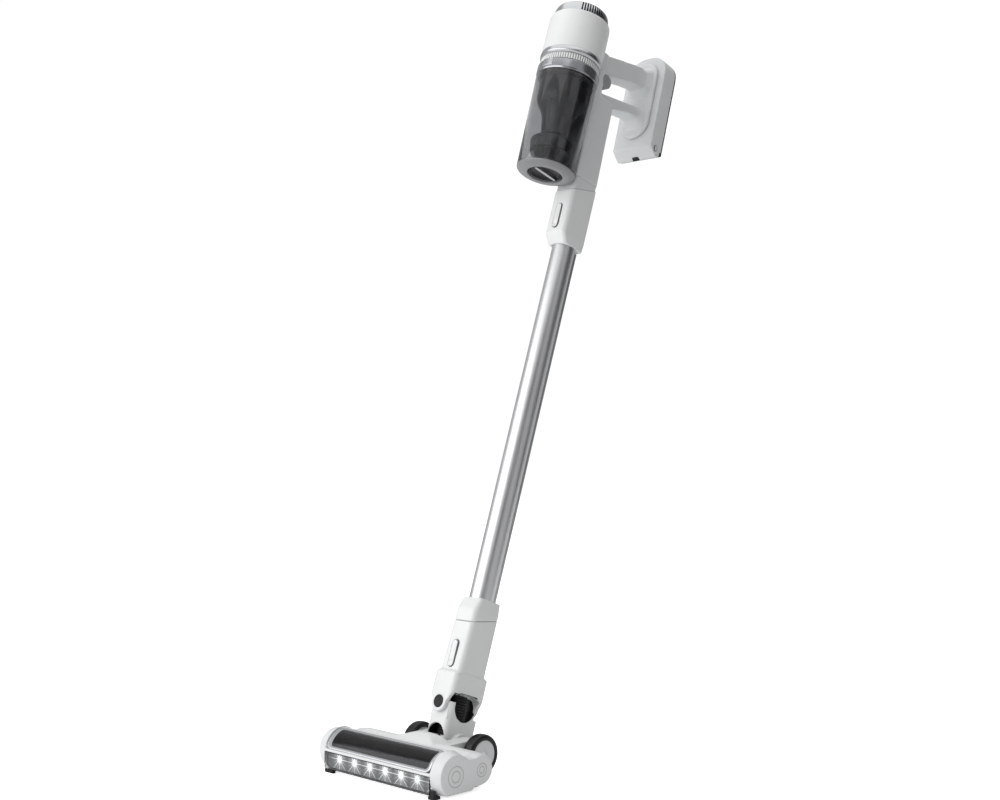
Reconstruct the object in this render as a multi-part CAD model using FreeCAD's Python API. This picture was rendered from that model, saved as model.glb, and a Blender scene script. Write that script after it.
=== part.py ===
import FreeCAD, Part
import math
import os

os.makedirs("parts", exist_ok=True)
V = FreeCAD.Vector

# ---------------------------------------------------------------- driving dimensions (mm, degrees)
LEAN = 18.9                 # the wand leans back from vertical
GRIP_TILT = 2.0             # the handheld unit leans forward again, from the wand
STICK_Z = 30.0              # height at which the wand's axis crosses the origin plane
CENTRE_Y = 181.14           # middle of the whole vacuum, behind the stick's foot
WALL = 2.5
GAP = 0.3                   # gap between faces of different moving bodies
FIT = 0.05                  # radial running clearance

# heights along the stick, from its foot
PIN_T = 58.7                # swing pin
FORK_TOP_T = 104.0
LOW_SEAM_T = 183.0          # joint between wand and floor head, at the wand's axis
COLLAR_T = 195.0
TUBE_LOW_T = 213.0
TUBE_HIGH_T = 772.0
CONNECTOR_T = 787.0
HIGH_SEAM_T = 870.0         # joint between wand and handheld, at the wand's axis
GRIP_T = 868.0              # origin of the handheld unit on the wand's axis
LOW_SEAM_TILT = 14.0
HIGH_SEAM_TILT = 20.0

TUBE_R = 18.0
TUBE_WALL = 1.5
SPIGOT_R = 15.0
SPIGOT_WALL = 2.0
SPIGOT_LENGTH = 40.0
NECK_X = 20.5               # half width of the white connectors
NECK_CORNER = 8.0
COLLAR_FRONT = -27.0
COLLAR_REAR = 26.8
CONNECTOR_FRONT = -30.2
CONNECTOR_REAR = 24.0
ADAPTER_FRONT = -30.4
CHANNEL_X = 8.0             # half width of the wire channel behind the tube
CHANNEL_REAR = 24.0

BUTTON_R = 5.5              # latch buttons on the wand joints
HIGH_BUTTON_LOW = 795.0
HIGH_BUTTON_HIGH = 836.0
LOW_BUTTON_LOW = 109.0
LOW_BUTTON_HIGH = 148.0
BUTTON_PROUD = 1.6
BUTTON_TRAVEL = 2.0
BUTTON_DEPTH = 6.0

FORK_X = 22.5
FORK_FRONT = -37.0
FORK_REAR = 32.4
EAR_FRONT_INNER = -30.0
EAR_REAR_INNER = 25.7
EAR_R = 14.0
SWING_CLEAR_R = 22.5
PIN_R = 4.0
PIN_CAP_R = 9.0
TONGUE = 4.0
TONGUE_R = 13.3
LOWER_NECK_X = 19.5
LOWER_NECK_FRONT = -29.7
LOWER_NECK_REAR = 32.0
LOWER_NECK_TOP = 44.0       # behind the rear ear
CHEEK_TOP = 62.0            # side walls between the ears
SIDE_OPENING_R = 21.5       # round opening in each side wall
FRONT_ARCH_R = 16.5
FRONT_ARCH_T = 13.0
HOSE_R = 16.6
HOSE_Y = -3.0
HOSE_PITCH = 4.0

# handheld unit, in its own frame, heights from the wand joint
BARREL_Y = -76.4            # axis of bin and motor at the wand joint
BARREL_TILT = -1.5          # and its small lean against the handle
BIN_LOW_R = 45.7
BIN_HIGH_R = 48.4
BIN_LOW_Z = 2.5
BIN_HIGH_Z = 155.0
BIN_BASE_Z = -4.6           # lowest edge of the floor's rim
KNOB_TOP_Z = 7.0
BIN_WALL = 2.0
CYCLONE_R = 39.5
CYCLONE_LOW_Z = 60.0
CYCLONE_HIGH_Z = 148.0
COLLAR_R = 49.2
COLLAR_HIGH_Z = 172.0
KNURL_R = 46.4
KNURL_HIGH_Z = 184.0
KNURL_COUNT = 72
FLANGE_R = 49.4
FLANGE_HIGH_Z = 194.0
HOUSING_LOW_R = 48.4
HOUSING_HIGH_R = 48.0
HOUSING_HIGH_Z = 258.5
CAP_R = 43.8
CAP_HIGH_Z = 284.0
RING_IN_R = 41.5
SLOT_COUNT = 50
SLOT_W = 2.2
MOTOR_R = 34.0              # suction motor and its impeller, inside the housing
MOTOR_LOW_Z = 200.0
MOTOR_HIGH_Z = 244.0
MOUNT_R = 42.5
IMPELLER_R = 30.0
IMPELLER_LOW_Z = 186.0
IMPELLER_SHAFT_R = 3.0
BLADE_COUNT = 9
KNOB_R = 26.6
KNOB_RECESS_R = 27.4

SPINE_X = 20.0
SPINE_REAR = 25.5
BAR_X = 17.0
TRIGGER_Y = -1.0            # round nose of the trigger, under the upper bar
TRIGGER_Z = 190.5
TRIGGER_R = 11.4
TRIGGER_LEVER_X = 7.0
TRIGGER_PIVOT = (-4.0, 208.0)
TRIGGER_PULL = 5.0
PAD_X = 28.0
PAD_LOW_Z = 142.0
PAD_HIGH_Z = 278.0
PAD_Y = 97.5
BATTERY_X = 40.0
BATTERY_FRONT = 104.0
BATTERY_REAR = 133.0
PLATE_REAR = 135.5
BATTERY_LOW_Z = 126.0
BATTERY_HIGH_Z = 291.0
BATTERY_TOP_R = 34.0
CELL_R = 9.0
CELL_LENGTH = 65.0
CELL_PITCH = 20.0
CELL_LOW_Z = 136.0

# floor head, heights from the floor
HEAD_X = 125.0
COVER_X = 108.0
BRUSH_Y = -101.0
BRUSH_Z = 25.5
BRUSH_R = 23.0
BRUSH_CORE_R = 12.0
BRUSH_AXLE_R = 3.0
BRUSH_MOTOR_R = 14.0
MOTOR_SHAFT_R = 2.0
BRUSH_PULLEY_R = 9.0        # the belt runs from the motor's pulley to the brush's
MOTOR_PULLEY_R = 7.0
PULLEY_IN_X = 101.0
PULLEY_OUT_X = 105.0
BELT_THICK = 1.3
TUNNEL_Z = 26.0
TUNNEL_R = 31.5
FRAME_X = 107.0             # window over the brush; angles from the rear round to the front
FRAME_REAR_ANGLE = 93.0
FRAME_FRONT_ANGLE = 166.0
LENS_X = 101.0
LENS_REAR_ANGLE = 99.0
LENS_FRONT_ANGLE = 162.0
COVER_LOW_Z = 6.0
BAND_Z = 29.0               # white band between window and light strip
HUMP_R = 90.0
LOBE_Y = -53.5
LOBE_Z = 28.0
LOBE_R = 21.5
LED_FRONT_Y = -133.0
LED_LOW_Z = 5.5
GLIDE_IN_X = 103.0          # black runner at the right front corner
GLIDE_OUT_X = 116.0
GLIDE_FRONT = -132.5
GLIDE_REAR = -119.0
GLIDE_BLOCK_REAR = -128.0
GLIDE_BLOCK_TOP = 12.0
PLATE_FRONT = -127.0
PLATE_LOW_Z = 3.0
LED_COUNT = 6
LED_PITCH = 32.0
PIVOT_Y = 5.9
PIVOT_Z = 28.5
WHEEL_R = 28.5
HUB_R = 20.5
WHEEL_X = 62.0
WHEEL_W = 18.0
AXLE_R = 5.0
BARREL_R = 22.0
BARREL_X = 24.7
ARM_IN_X = 25.2
ARM_OUT_X = 51.0

# ---------------------------------------------------------------- frames
FLOOR = FreeCAD.Placement(V(0, -CENTRE_Y, 0), FreeCAD.Rotation())
LEAN_BACK = FreeCAD.Placement(V(0, 0, STICK_Z), FreeCAD.Rotation(V(1, 0, 0), -LEAN))
STICK = FLOOR.multiply(LEAN_BACK)
TILT_FORWARD = FreeCAD.Placement(V(0, 0, GRIP_T), FreeCAD.Rotation(V(1, 0, 0), GRIP_TILT))
HAND = STICK.multiply(TILT_FORWARD)
BARREL_IN_HAND = FreeCAD.Placement(V(0, BARREL_Y, 0), FreeCAD.Rotation(V(1, 0, 0), BARREL_TILT))
BARREL = HAND.multiply(BARREL_IN_HAND)


def placed(shape, frame):
    moved = shape.copy()
    moved.Placement = frame.multiply(moved.Placement)
    return moved


def save(name, shape, frame=FLOOR):
    placed(shape, frame).exportStep(f"parts/{name}.step")


# ---------------------------------------------------------------- simple solids
def box(x0, x1, y0, y1, z0, z1):
    return Part.makeBox(x1 - x0, y1 - y0, z1 - z0, V(x0, y0, z0))


def rod_x(radius, x0, x1, y, z):
    return Part.makeCylinder(radius, x1 - x0, V(x0, y, z), V(1, 0, 0))


def rod_y(radius, y0, y1, x, z):
    return Part.makeCylinder(radius, y1 - y0, V(x, y0, z), V(0, 1, 0))


def rod_z(radius, z0, z1, y=0.0, x=0.0):
    return Part.makeCylinder(radius, z1 - z0, V(x, y, z0), V(0, 0, 1))


def ring(outer, inner, z0, z1, y=0.0):
    return rod_z(outer, z0, z1, y).cut(rod_z(inner, z0 - 1, z1 + 1, y))


def rounded_wire(x0, x1, y0, y1, corner, z):
    """A rectangle with round corners, flat at height z."""
    s = corner * (1 - math.sqrt(0.5))
    edges = []
    corners = [
        (V(x1 - corner, y0, z), V(x1 - s, y0 + s, z), V(x1, y0 + corner, z)),
        (V(x1, y1 - corner, z), V(x1 - s, y1 - s, z), V(x1 - corner, y1, z)),
        (V(x0 + corner, y1, z), V(x0 + s, y1 - s, z), V(x0, y1 - corner, z)),
        (V(x0, y0 + corner, z), V(x0 + s, y0 + s, z), V(x0 + corner, y0, z)),
    ]
    for i, (start, middle, end) in enumerate(corners):
        following = corners[(i + 1) % 4][0]
        edges.append(Part.Arc(start, middle, end).toShape())
        edges.append(Part.makeLine(end, following))
    return Part.Wire(edges)


def rounded_prism(x0, x1, y0, y1, z0, z1, corner):
    face = Part.Face(rounded_wire(x0, x1, y0, y1, corner, z0))
    return face.extrude(V(0, 0, z1 - z0))


def rounded_taper(low, high):
    """A solid between two rounded rectangles, each (x0, x1, y0, y1, corner, z)."""
    return Part.makeLoft([rounded_wire(*low), rounded_wire(*high)], True, True)


def obround(half_width, low, high, y0, y1):
    """An upright slot shape, along Y."""
    shape = box(-half_width, half_width, y0, y1, low + half_width, high - half_width)
    for z in (low + half_width, high - half_width):
        shape = shape.fuse(rod_y(half_width, y0, y1, 0, z))
    return shape.removeSplitter()


def rounded_side_prism(half_width, y0, y1, z0, z1, corner):
    """A block with round edges along X."""
    block = rounded_prism(z0, z1, y0, y1, -half_width, half_width, corner)
    block.rotate(V(0, 0, 0), V(0, 1, 0), -90)
    return block


def side_prism(outline, x0, x1):
    """An outline of (y, z) points, carried from x0 to x1."""
    points = [V(x0, y, z) for y, z in outline]
    face = Part.Face(Part.makePolygon(points + points[:1]))
    return face.extrude(V(x1 - x0, 0, 0))


def front_prism(outline, y0, y1):
    """An outline of (x, z) points, carried from y0 to y1."""
    points = [V(x, y0, z) for x, z in outline]
    face = Part.Face(Part.makePolygon(points + points[:1]))
    return face.extrude(V(0, y1 - y0, 0))


def lathe(outline, y=0.0):
    """A ring turned from an outline of (radius, z) points about an upright axis."""
    points = [V(radius, 0, z) for radius, z in outline]
    face = Part.Face(Part.makePolygon(points + points[:1]))
    turned = face.revolve(V(0, 0, 0), V(0, 0, 1), 360)
    turned.translate(V(0, y, 0))
    return turned


def below_seam(height, tilt, sink):
    """Everything under a joint plane that rises to the rear; sink lowers it."""
    slab = Part.makeBox(200, 200, 400, V(-100, -100, -400 - sink))
    slab.rotate(V(0, 0, 0), V(1, 0, 0), tilt)
    slab.translate(V(0, 0, height))
    return slab


def mirrored(shape):
    return shape.mirror(V(0, 0, 0), V(1, 0, 0))


def group(shapes):
    return Part.makeCompound(shapes)


# ---------------------------------------------------------------- wand
def wand_tube():
    return ring(TUBE_R, TUBE_R - TUBE_WALL, TUBE_LOW_T - 16, TUBE_HIGH_T + 40)


def wire_channel():
    low = TUBE_LOW_T - 10
    high = TUBE_HIGH_T + 10
    outer = rounded_prism(-CHANNEL_X, CHANNEL_X, TUBE_R - 6, CHANNEL_REAR, low, high, 1.5)
    hollow = box(-CHANNEL_X + 1.2, CHANNEL_X - 1.2, TUBE_R - 6, CHANNEL_REAR - 1.2, low - 1, high + 1)
    return outer.cut(hollow).cut(rod_z(TUBE_R, low - 1, high + 1))


def wires():
    low = TUBE_LOW_T - 10
    high = TUBE_HIGH_T + 10
    return group([rod_z(1.3, low, high, TUBE_R + 2.4, x) for x in (-3.2, 3.2)])


def tube_and_channel_space(low, high):
    slot = box(-CHANNEL_X, CHANNEL_X, 0, CHANNEL_REAR, low, high)
    return rod_z(TUBE_R, low, high).fuse(slot)


def wand_collar():
    body = rounded_prism(-NECK_X, NECK_X, COLLAR_FRONT, COLLAR_REAR, 150, COLLAR_T, NECK_CORNER)
    low = (-NECK_X, NECK_X, COLLAR_FRONT, COLLAR_REAR, NECK_CORNER, COLLAR_T)
    high = (-TUBE_R - 1, TUBE_R + 1, -TUBE_R - 1, CHANNEL_REAR + 1, NECK_CORNER - 2, TUBE_LOW_T)
    body = body.fuse(rounded_taper(low, high))
    body = body.cut(below_seam(LOW_SEAM_T, LOW_SEAM_TILT, 0))
    spigot = rod_z(SPIGOT_R, LOW_SEAM_T - SPIGOT_LENGTH, COLLAR_T)
    body = body.fuse(spigot)
    body = body.cut(rod_z(SPIGOT_R - SPIGOT_WALL, LOW_SEAM_T - 100, TUBE_LOW_T))
    return body.cut(tube_and_channel_space(TUBE_LOW_T - 16, TUBE_LOW_T + 1))


def wand_connector():
    low = (-TUBE_R - 0.8, TUBE_R + 0.8, -TUBE_R - 1.0, CHANNEL_REAR + 0.5, NECK_CORNER - 2, TUBE_HIGH_T)
    high = (-NECK_X, NECK_X, CONNECTOR_FRONT, CONNECTOR_REAR + 1.5, NECK_CORNER, CONNECTOR_T)
    body = rounded_taper(low, high)
    tall = rounded_prism(-NECK_X, NECK_X, CONNECTOR_FRONT, CONNECTOR_REAR + 1.5, CONNECTOR_T, 900, NECK_CORNER)
    body = body.fuse(tall.common(below_seam(HIGH_SEAM_T, HIGH_SEAM_TILT, GAP)))
    body = body.cut(rod_z(SPIGOT_R + FIT, HIGH_SEAM_T - SPIGOT_LENGTH - 2, 900))
    body = body.cut(rod_z(SPIGOT_R - SPIGOT_WALL, TUBE_HIGH_T, 900))
    body = body.cut(tube_and_channel_space(TUBE_HIGH_T - 1, TUBE_HIGH_T + 40))
    return body.cut(button_pocket(HIGH_BUTTON_LOW, HIGH_BUTTON_HIGH, CONNECTOR_FRONT))


# ---------------------------------------------------------------- latch buttons of the wand joints
def button_pocket(low, high, front):
    depth = BUTTON_DEPTH + BUTTON_TRAVEL
    return obround(BUTTON_R + GAP, low - GAP, high + GAP, front - 3, front + depth)


def latch_button(low, high, front):
    body = obround(BUTTON_R, low, high, front - BUTTON_PROUD, front + BUTTON_DEPTH - 1)
    dimple_r = 9.0
    dimple = Part.makeSphere(dimple_r, V(0, front - BUTTON_PROUD - dimple_r + 1.2, low + BUTTON_R + 1))
    return body.cut(dimple)


# ---------------------------------------------------------------- neck
def ear_outline(reach):
    """The fork seen from the front: straight sides that draw in to a round ear about the pin."""
    side = PIN_T + 17.3
    outline = [(-FORK_X, reach), (FORK_X, reach), (FORK_X, side), (EAR_R - 0.6, PIN_T), (0.6 - EAR_R, PIN_T),
               (-FORK_X, side)]
    y0 = FORK_FRONT - 2
    y1 = FORK_REAR + 2
    return front_prism(outline, y0, y1).fuse(rod_y(EAR_R, y0, y1, 0, PIN_T))


def head_adapter():
    low = (-NECK_X, NECK_X, ADAPTER_FRONT, COLLAR_REAR, NECK_CORNER, FORK_TOP_T)
    high = (-NECK_X, NECK_X, COLLAR_FRONT + 0.4, COLLAR_REAR, NECK_CORNER, LOW_SEAM_T + 15)
    upper = rounded_taper(low, high).common(below_seam(LOW_SEAM_T, LOW_SEAM_TILT, GAP))
    fork_low = (-FORK_X, FORK_X, FORK_FRONT, FORK_REAR, NECK_CORNER, 30)
    fork_high = (-FORK_X, FORK_X, FORK_FRONT + 0.5, FORK_REAR, NECK_CORNER, FORK_TOP_T - 2)
    shoulder = (1 - NECK_X, NECK_X - 1, ADAPTER_FRONT + 1, COLLAR_REAR - 1, NECK_CORNER - 1, FORK_TOP_T + 2)
    fork = rounded_taper(fork_low, fork_high).fuse(rounded_taper(fork_high, shoulder))
    fork = fork.common(ear_outline(FORK_TOP_T + 10))
    between = rounded_side_prism(50, EAR_FRONT_INNER, EAR_REAR_INNER, 0, PIN_T + 17, 14)
    between = between.fuse(rod_y(SWING_CLEAR_R, EAR_FRONT_INNER, EAR_REAR_INNER, 0, PIN_T))
    body = upper.fuse(fork.cut(between))
    body = body.cut(rod_z(SPIGOT_R + FIT, LOW_SEAM_T - SPIGOT_LENGTH - 2, 300))
    body = body.cut(rod_z(SPIGOT_R - SPIGOT_WALL, PIN_T + 10, 300))
    body = body.cut(button_pocket(LOW_BUTTON_LOW, LOW_BUTTON_HIGH, ADAPTER_FRONT + 0.6))
    for y0, y1 in ((FORK_FRONT - 1, EAR_FRONT_INNER + 1), (EAR_REAR_INNER - 1, FORK_REAR + 1)):
        body = body.cut(rod_y(PIN_R, y0, y1, 0, PIN_T))
    for y0, y1 in ((FORK_FRONT - 3, FORK_FRONT + 2), (FORK_REAR - 2, FORK_REAR + 3)):
        body = body.cut(rod_y(PIN_CAP_R, y0, y1, 0, PIN_T))
    return body.removeSplitter()


def swing_pins():
    front = rod_y(PIN_R, FORK_FRONT + 2, LOWER_NECK_FRONT + TONGUE, 0, PIN_T)
    rear = rod_y(PIN_R, EAR_REAR_INNER - TONGUE, FORK_REAR - 2, 0, PIN_T)
    return group([front, rear])


def swing_pin_caps():
    front = rod_y(PIN_CAP_R, FORK_FRONT - 1, FORK_FRONT + 2, 0, PIN_T)
    rear = rod_y(PIN_CAP_R, FORK_REAR - 2, FORK_REAR + 0.8, 0, PIN_T)
    return group([front, rear])


def pivot_in_stick():
    """The head's pivot axle, seen in the stick's frame: (y, z)."""
    lean = math.radians(LEAN)
    rise = PIVOT_Z - STICK_Z
    return (PIVOT_Y * math.cos(lean) - rise * math.sin(lean), PIVOT_Y * math.sin(lean) + rise * math.cos(lean))


def lower_neck():
    """The part between the swing pin and the head: two tongues above a hollow box and a cross barrel."""
    pivot_y, pivot_z = pivot_in_stick()
    body = rounded_prism(-LOWER_NECK_X, LOWER_NECK_X, LOWER_NECK_FRONT, LOWER_NECK_REAR, 6, LOWER_NECK_TOP,
                         NECK_CORNER)
    rear = EAR_REAR_INNER - GAP
    cheeks = rounded_prism(-LOWER_NECK_X, LOWER_NECK_X, LOWER_NECK_FRONT, rear, 6, CHEEK_TOP, NECK_CORNER)
    body = body.fuse(cheeks)
    body = body.fuse(rod_x(BARREL_R, -BARREL_X, BARREL_X, pivot_y, pivot_z))
    inside = LOWER_NECK_X - WALL
    body = body.cut(box(-inside, inside, LOWER_NECK_FRONT + TONGUE, rear - TONGUE, 16, 80))
    body = body.cut(rod_x(SIDE_OPENING_R, -40, 40, 1, PIN_T))
    for y0 in (LOWER_NECK_FRONT, rear - TONGUE):
        y1 = y0 + TONGUE
        stem = front_prism([(-TONGUE_R, PIN_T), (TONGUE_R, PIN_T), (LOWER_NECK_X - 2, LOWER_NECK_TOP - 6),
                            (2 - LOWER_NECK_X, LOWER_NECK_TOP - 6)], y0, y1)
        body = body.fuse(stem).fuse(rod_y(TONGUE_R, y0, y1, 0, PIN_T))
        body = body.cut(rod_y(PIN_R + FIT, y0 - 1, y1 + 1, 0, PIN_T))
    arch = box(-FRONT_ARCH_R, FRONT_ARCH_R, -50, -20, 0, FRONT_ARCH_T)
    arch = arch.fuse(rod_y(FRONT_ARCH_R, -50, -20, 0, FRONT_ARCH_T))
    body = body.cut(arch).cut(rod_z(HOSE_R + FIT, 4, 60, HOSE_Y))
    return body.cut(rod_x(AXLE_R + FIT, -60, 60, pivot_y, pivot_z)).removeSplitter()


def neck_hose():
    """A flexible hose with a ring every few millimetres, hollow."""
    low = 5.0
    rings = 17
    outline = [(HOSE_R - 3.0, low)]
    for i in range(rings):
        z = low + i * HOSE_PITCH
        outline.append((HOSE_R - 1.4, z))
        outline.append((HOSE_R, z + 0.3 * HOSE_PITCH))
        outline.append((HOSE_R, z + 0.7 * HOSE_PITCH))
    high = low + rings * HOSE_PITCH
    outline.append((HOSE_R - 1.4, high))
    outline.append((HOSE_R - 3.0, high))
    return lathe(outline, HOSE_Y)


# ---------------------------------------------------------------- floor head
def tunnel_sector(outer, inner, low_angle, high_angle, half_length):
    """Part of the round tunnel roof, angles from the rear round to the front."""
    reach = 60.0
    points = [(BRUSH_Y, TUNNEL_Z)]
    steps = 6
    for i in range(steps + 1):
        angle = math.radians(low_angle + (high_angle - low_angle) * i / steps)
        points.append((BRUSH_Y + reach * math.cos(angle), TUNNEL_Z + reach * math.sin(angle)))
    wedge = side_prism(points, -half_length, half_length)
    shell = rod_x(outer, -half_length, half_length, BRUSH_Y, TUNNEL_Z)
    shell = shell.cut(rod_x(inner, -half_length - 1, half_length + 1, BRUSH_Y, TUNNEL_Z))
    return shell.common(wedge)


def head_form(half_length, inset):
    """The two-lobed form of the head: brush tunnel in front, motor compartment behind."""
    form = rod_x(TUNNEL_R - inset, -half_length, half_length, BRUSH_Y, TUNNEL_Z)
    form = form.fuse(rod_x(LOBE_R - inset, -half_length, half_length, LOBE_Y, LOBE_Z))
    bridge = box(-half_length, half_length, BRUSH_Y, LOBE_Y, COVER_LOW_Z, LOBE_Z + 17 - inset)
    return form.fuse(bridge).removeSplitter()


def head_arm():
    """One rear arm, which carries the neck's pivot and a wheel."""
    eye = rod_x(19.0, ARM_IN_X, ARM_OUT_X, PIVOT_Y, PIVOT_Z)
    side = side_prism([(-45, 9), (PIVOT_Y, 9.5), (PIVOT_Y, 47.5), (-45, 47)], ARM_IN_X, ARM_OUT_X)
    arm = eye.fuse(side).cut(rod_x(AXLE_R, ARM_IN_X - 1, ARM_OUT_X + 1, PIVOT_Y, PIVOT_Z))
    return arm


def head_hump():
    """The raised white cowl in front of the neck."""
    outline = [(-66, 40), (-64, 48), (-56, 53.5), (-46, 57), (-37, 57.5), (-33, 55), (-31.5, 30), (-50, 30)]
    block = side_prism(outline, -46, 46)
    return block.common(rod_y(HUMP_R, -80, -20, 0, 57.6 - HUMP_R))


def head_cover():
    body = head_form(COVER_X, 0)
    body = body.fuse(head_arm()).fuse(mirrored(head_arm())).fuse(head_hump())
    body = body.cut(head_form(COVER_X + 1, WALL))
    body = body.cut(box(-200, 200, -200, -35, -20, COVER_LOW_Z))
    body = body.cut(box(-200, 200, -200, BRUSH_Y - 20, -20, BAND_Z))
    window = tunnel_sector(TUNNEL_R + 4, TUNNEL_R - 6, FRAME_REAR_ANGLE, FRAME_FRONT_ANGLE, FRAME_X)
    return body.cut(window).removeSplitter()


def window_frame():
    frame = tunnel_sector(TUNNEL_R + 0.8, TUNNEL_R - WALL, FRAME_REAR_ANGLE, FRAME_FRONT_ANGLE, FRAME_X)
    hole = tunnel_sector(TUNNEL_R + 4, TUNNEL_R - 6, LENS_REAR_ANGLE, LENS_FRONT_ANGLE, LENS_X)
    return frame.cut(hole)


def window_lens():
    return tunnel_sector(TUNNEL_R, TUNNEL_R - 1.8, LENS_REAR_ANGLE, LENS_FRONT_ANGLE, LENS_X)


def led_lens():
    return box(-COVER_X, COVER_X, LED_FRONT_Y, LED_FRONT_Y + 3, LED_LOW_Z, BAND_Z)


def led_board():
    board_y = LED_FRONT_Y + 6
    return box(-COVER_X + 3, COVER_X - 3, board_y, board_y + 1.6, LED_LOW_Z + 2, BAND_Z - 1)


def led_positions():
    first = -LED_PITCH * (LED_COUNT - 1) / 2
    return [first + i * LED_PITCH for i in range(LED_COUNT)]


def leds():
    back = LED_FRONT_Y + 6
    return group([box(x - 2.5, x + 2.5, back - 1.5, back, 18, 23) for x in led_positions()])


def end_cap(notched):
    """The figure-eight cap of one end; its rim draws in towards the flat face."""
    rim = HEAD_X - COVER_X
    front = Part.makeCone(TUNNEL_R, 27.5, rim, V(COVER_X, BRUSH_Y, TUNNEL_Z + 1.5), V(1, 0, 0))
    rear = Part.makeCone(LOBE_R, 19.5, rim, V(COVER_X, LOBE_Y, LOBE_Z), V(1, 0, 0))
    web = side_prism([(BRUSH_Y, 4), (-72, 4), (-66, 8), (LOBE_Y, 8), (LOBE_Y, 45), (-76, 44.5), (BRUSH_Y, 56)],
                     COVER_X, HEAD_X)
    cap = front.fuse(rear).fuse(web)
    cap = cap.cut(box(0, 200, -200, 0, -20, 4))
    cap = cap.cut(box(0, 200, -200, LED_FRONT_Y, -20, 80))
    if notched:
        reach = GLIDE_OUT_X + GAP
        cap = cap.cut(box(0, reach, -200, GLIDE_REAR + GAP, -20, 4 + GAP))
        cap = cap.cut(box(0, reach, -200, GLIDE_BLOCK_REAR + GAP, -20, GLIDE_BLOCK_TOP + GAP))
    hollow = rod_x(TUNNEL_R - 6, COVER_X - 1, COVER_X + 8, BRUSH_Y, TUNNEL_Z)
    cap = cap.cut(hollow)
    for y, z, radius in ((BRUSH_Y, TUNNEL_Z + 1, 13.5), (BRUSH_Y, TUNNEL_Z + 1, 7.5), (LOBE_Y, LOBE_Z, 9)):
        groove = rod_x(radius, HEAD_X - 0.6, HEAD_X + 1, y, z)
        groove = groove.cut(rod_x(radius - 1.2, HEAD_X - 2, HEAD_X + 2, y, z))
        cap = cap.cut(groove)
    return cap.cut(rod_x(BRUSH_AXLE_R + 0.2, COVER_X - 1, COVER_X + 11, BRUSH_Y, BRUSH_Z)).removeSplitter()


def sole_plate():
    plate = box(-COVER_X, COVER_X, PLATE_FRONT, -36, PLATE_LOW_Z, COVER_LOW_Z - 0.5)
    mouth = rounded_prism(-100, 100, -125, -76, 0, 10, 6)
    corner = box(GLIDE_IN_X - GAP, COVER_X, PLATE_FRONT, GLIDE_REAR + GAP, 0, 10)
    return plate.cut(corner).cut(mouth)


def glides():
    """Black runners: a tall one at the right front corner, a bar at the left, two flat ones at the rear."""
    right = rounded_prism(GLIDE_IN_X, GLIDE_OUT_X, GLIDE_FRONT, GLIDE_REAR, 0, 4, 3)
    right = right.fuse(box(COVER_X + GAP, GLIDE_OUT_X, GLIDE_FRONT, GLIDE_BLOCK_REAR, 2, GLIDE_BLOCK_TOP))
    left = box(-COVER_X, 18 - COVER_X, GLIDE_FRONT, PLATE_FRONT, 0, LED_LOW_Z)
    rear = rounded_prism(80, 104, -48, -38, 0, PLATE_LOW_Z, 3)
    return group([right, left, rear, mirrored(rear)])


def brush_core():
    core = rod_x(BRUSH_CORE_R, -99, 99, BRUSH_Y, BRUSH_Z)
    axle = rod_x(BRUSH_AXLE_R, -117, 117, BRUSH_Y, BRUSH_Z)
    pulley = rod_x(BRUSH_PULLEY_R, -PULLEY_OUT_X, -PULLEY_IN_X, BRUSH_Y, BRUSH_Z)
    return core.fuse(axle).fuse(pulley).removeSplitter()


def brush_pile():
    pile = rod_x(BRUSH_R, -98, 98, BRUSH_Y, BRUSH_Z)
    return pile.cut(rod_x(BRUSH_CORE_R, -100, 100, BRUSH_Y, BRUSH_Z))


def brush_motor():
    can = rod_x(BRUSH_MOTOR_R, -92, -20, LOBE_Y, LOBE_Z)
    foot = box(-80, -30, LOBE_Y - 10, LOBE_Y + 10, COVER_LOW_Z, LOBE_Z - 8)
    foot = foot.common(rod_x(LOBE_R - WALL - 0.1, -80, -30, LOBE_Y, LOBE_Z))
    return can.fuse(foot).cut(rod_x(MOTOR_SHAFT_R + FIT, -93, -60, LOBE_Y, LOBE_Z)).removeSplitter()


def motor_pulley():
    shaft = rod_x(MOTOR_SHAFT_R, -PULLEY_IN_X, -61, LOBE_Y, LOBE_Z)
    return rod_x(MOTOR_PULLEY_R, -PULLEY_OUT_X, -PULLEY_IN_X, LOBE_Y, LOBE_Z).fuse(shaft)


def belt_loop(front_r, rear_r, x0, x1):
    """A disc round each pulley and the band between them."""
    slope = math.asin((front_r - rear_r) / (LOBE_Y - BRUSH_Y))
    rise = math.cos(slope)
    run = math.sin(slope)
    outline = []
    for y, z, radius, side in ((BRUSH_Y, BRUSH_Z, front_r, 1), (LOBE_Y, LOBE_Z, rear_r, 1),
                               (LOBE_Y, LOBE_Z, rear_r, -1), (BRUSH_Y, BRUSH_Z, front_r, -1)):
        outline.append((y + run * radius, z + side * rise * radius))
    band = side_prism(outline, x0, x1)
    return band.fuse(rod_x(front_r, x0, x1, BRUSH_Y, BRUSH_Z)).fuse(rod_x(rear_r, x0, x1, LOBE_Y, LOBE_Z))


def drive_belt():
    front_r = BRUSH_PULLEY_R + FIT
    rear_r = MOTOR_PULLEY_R + FIT
    outer = belt_loop(front_r + BELT_THICK, rear_r + BELT_THICK, 0.5 - PULLEY_OUT_X, -0.5 - PULLEY_IN_X)
    return outer.cut(belt_loop(front_r, rear_r, -110, -90)).removeSplitter()


def pivot_axle():
    """One axle: the neck turns on its inner end and a wheel on its outer end."""
    return rod_x(AXLE_R, ARM_IN_X - 4.5, WHEEL_X + WHEEL_W / 2 - 2, PIVOT_Y, PIVOT_Z)


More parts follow.
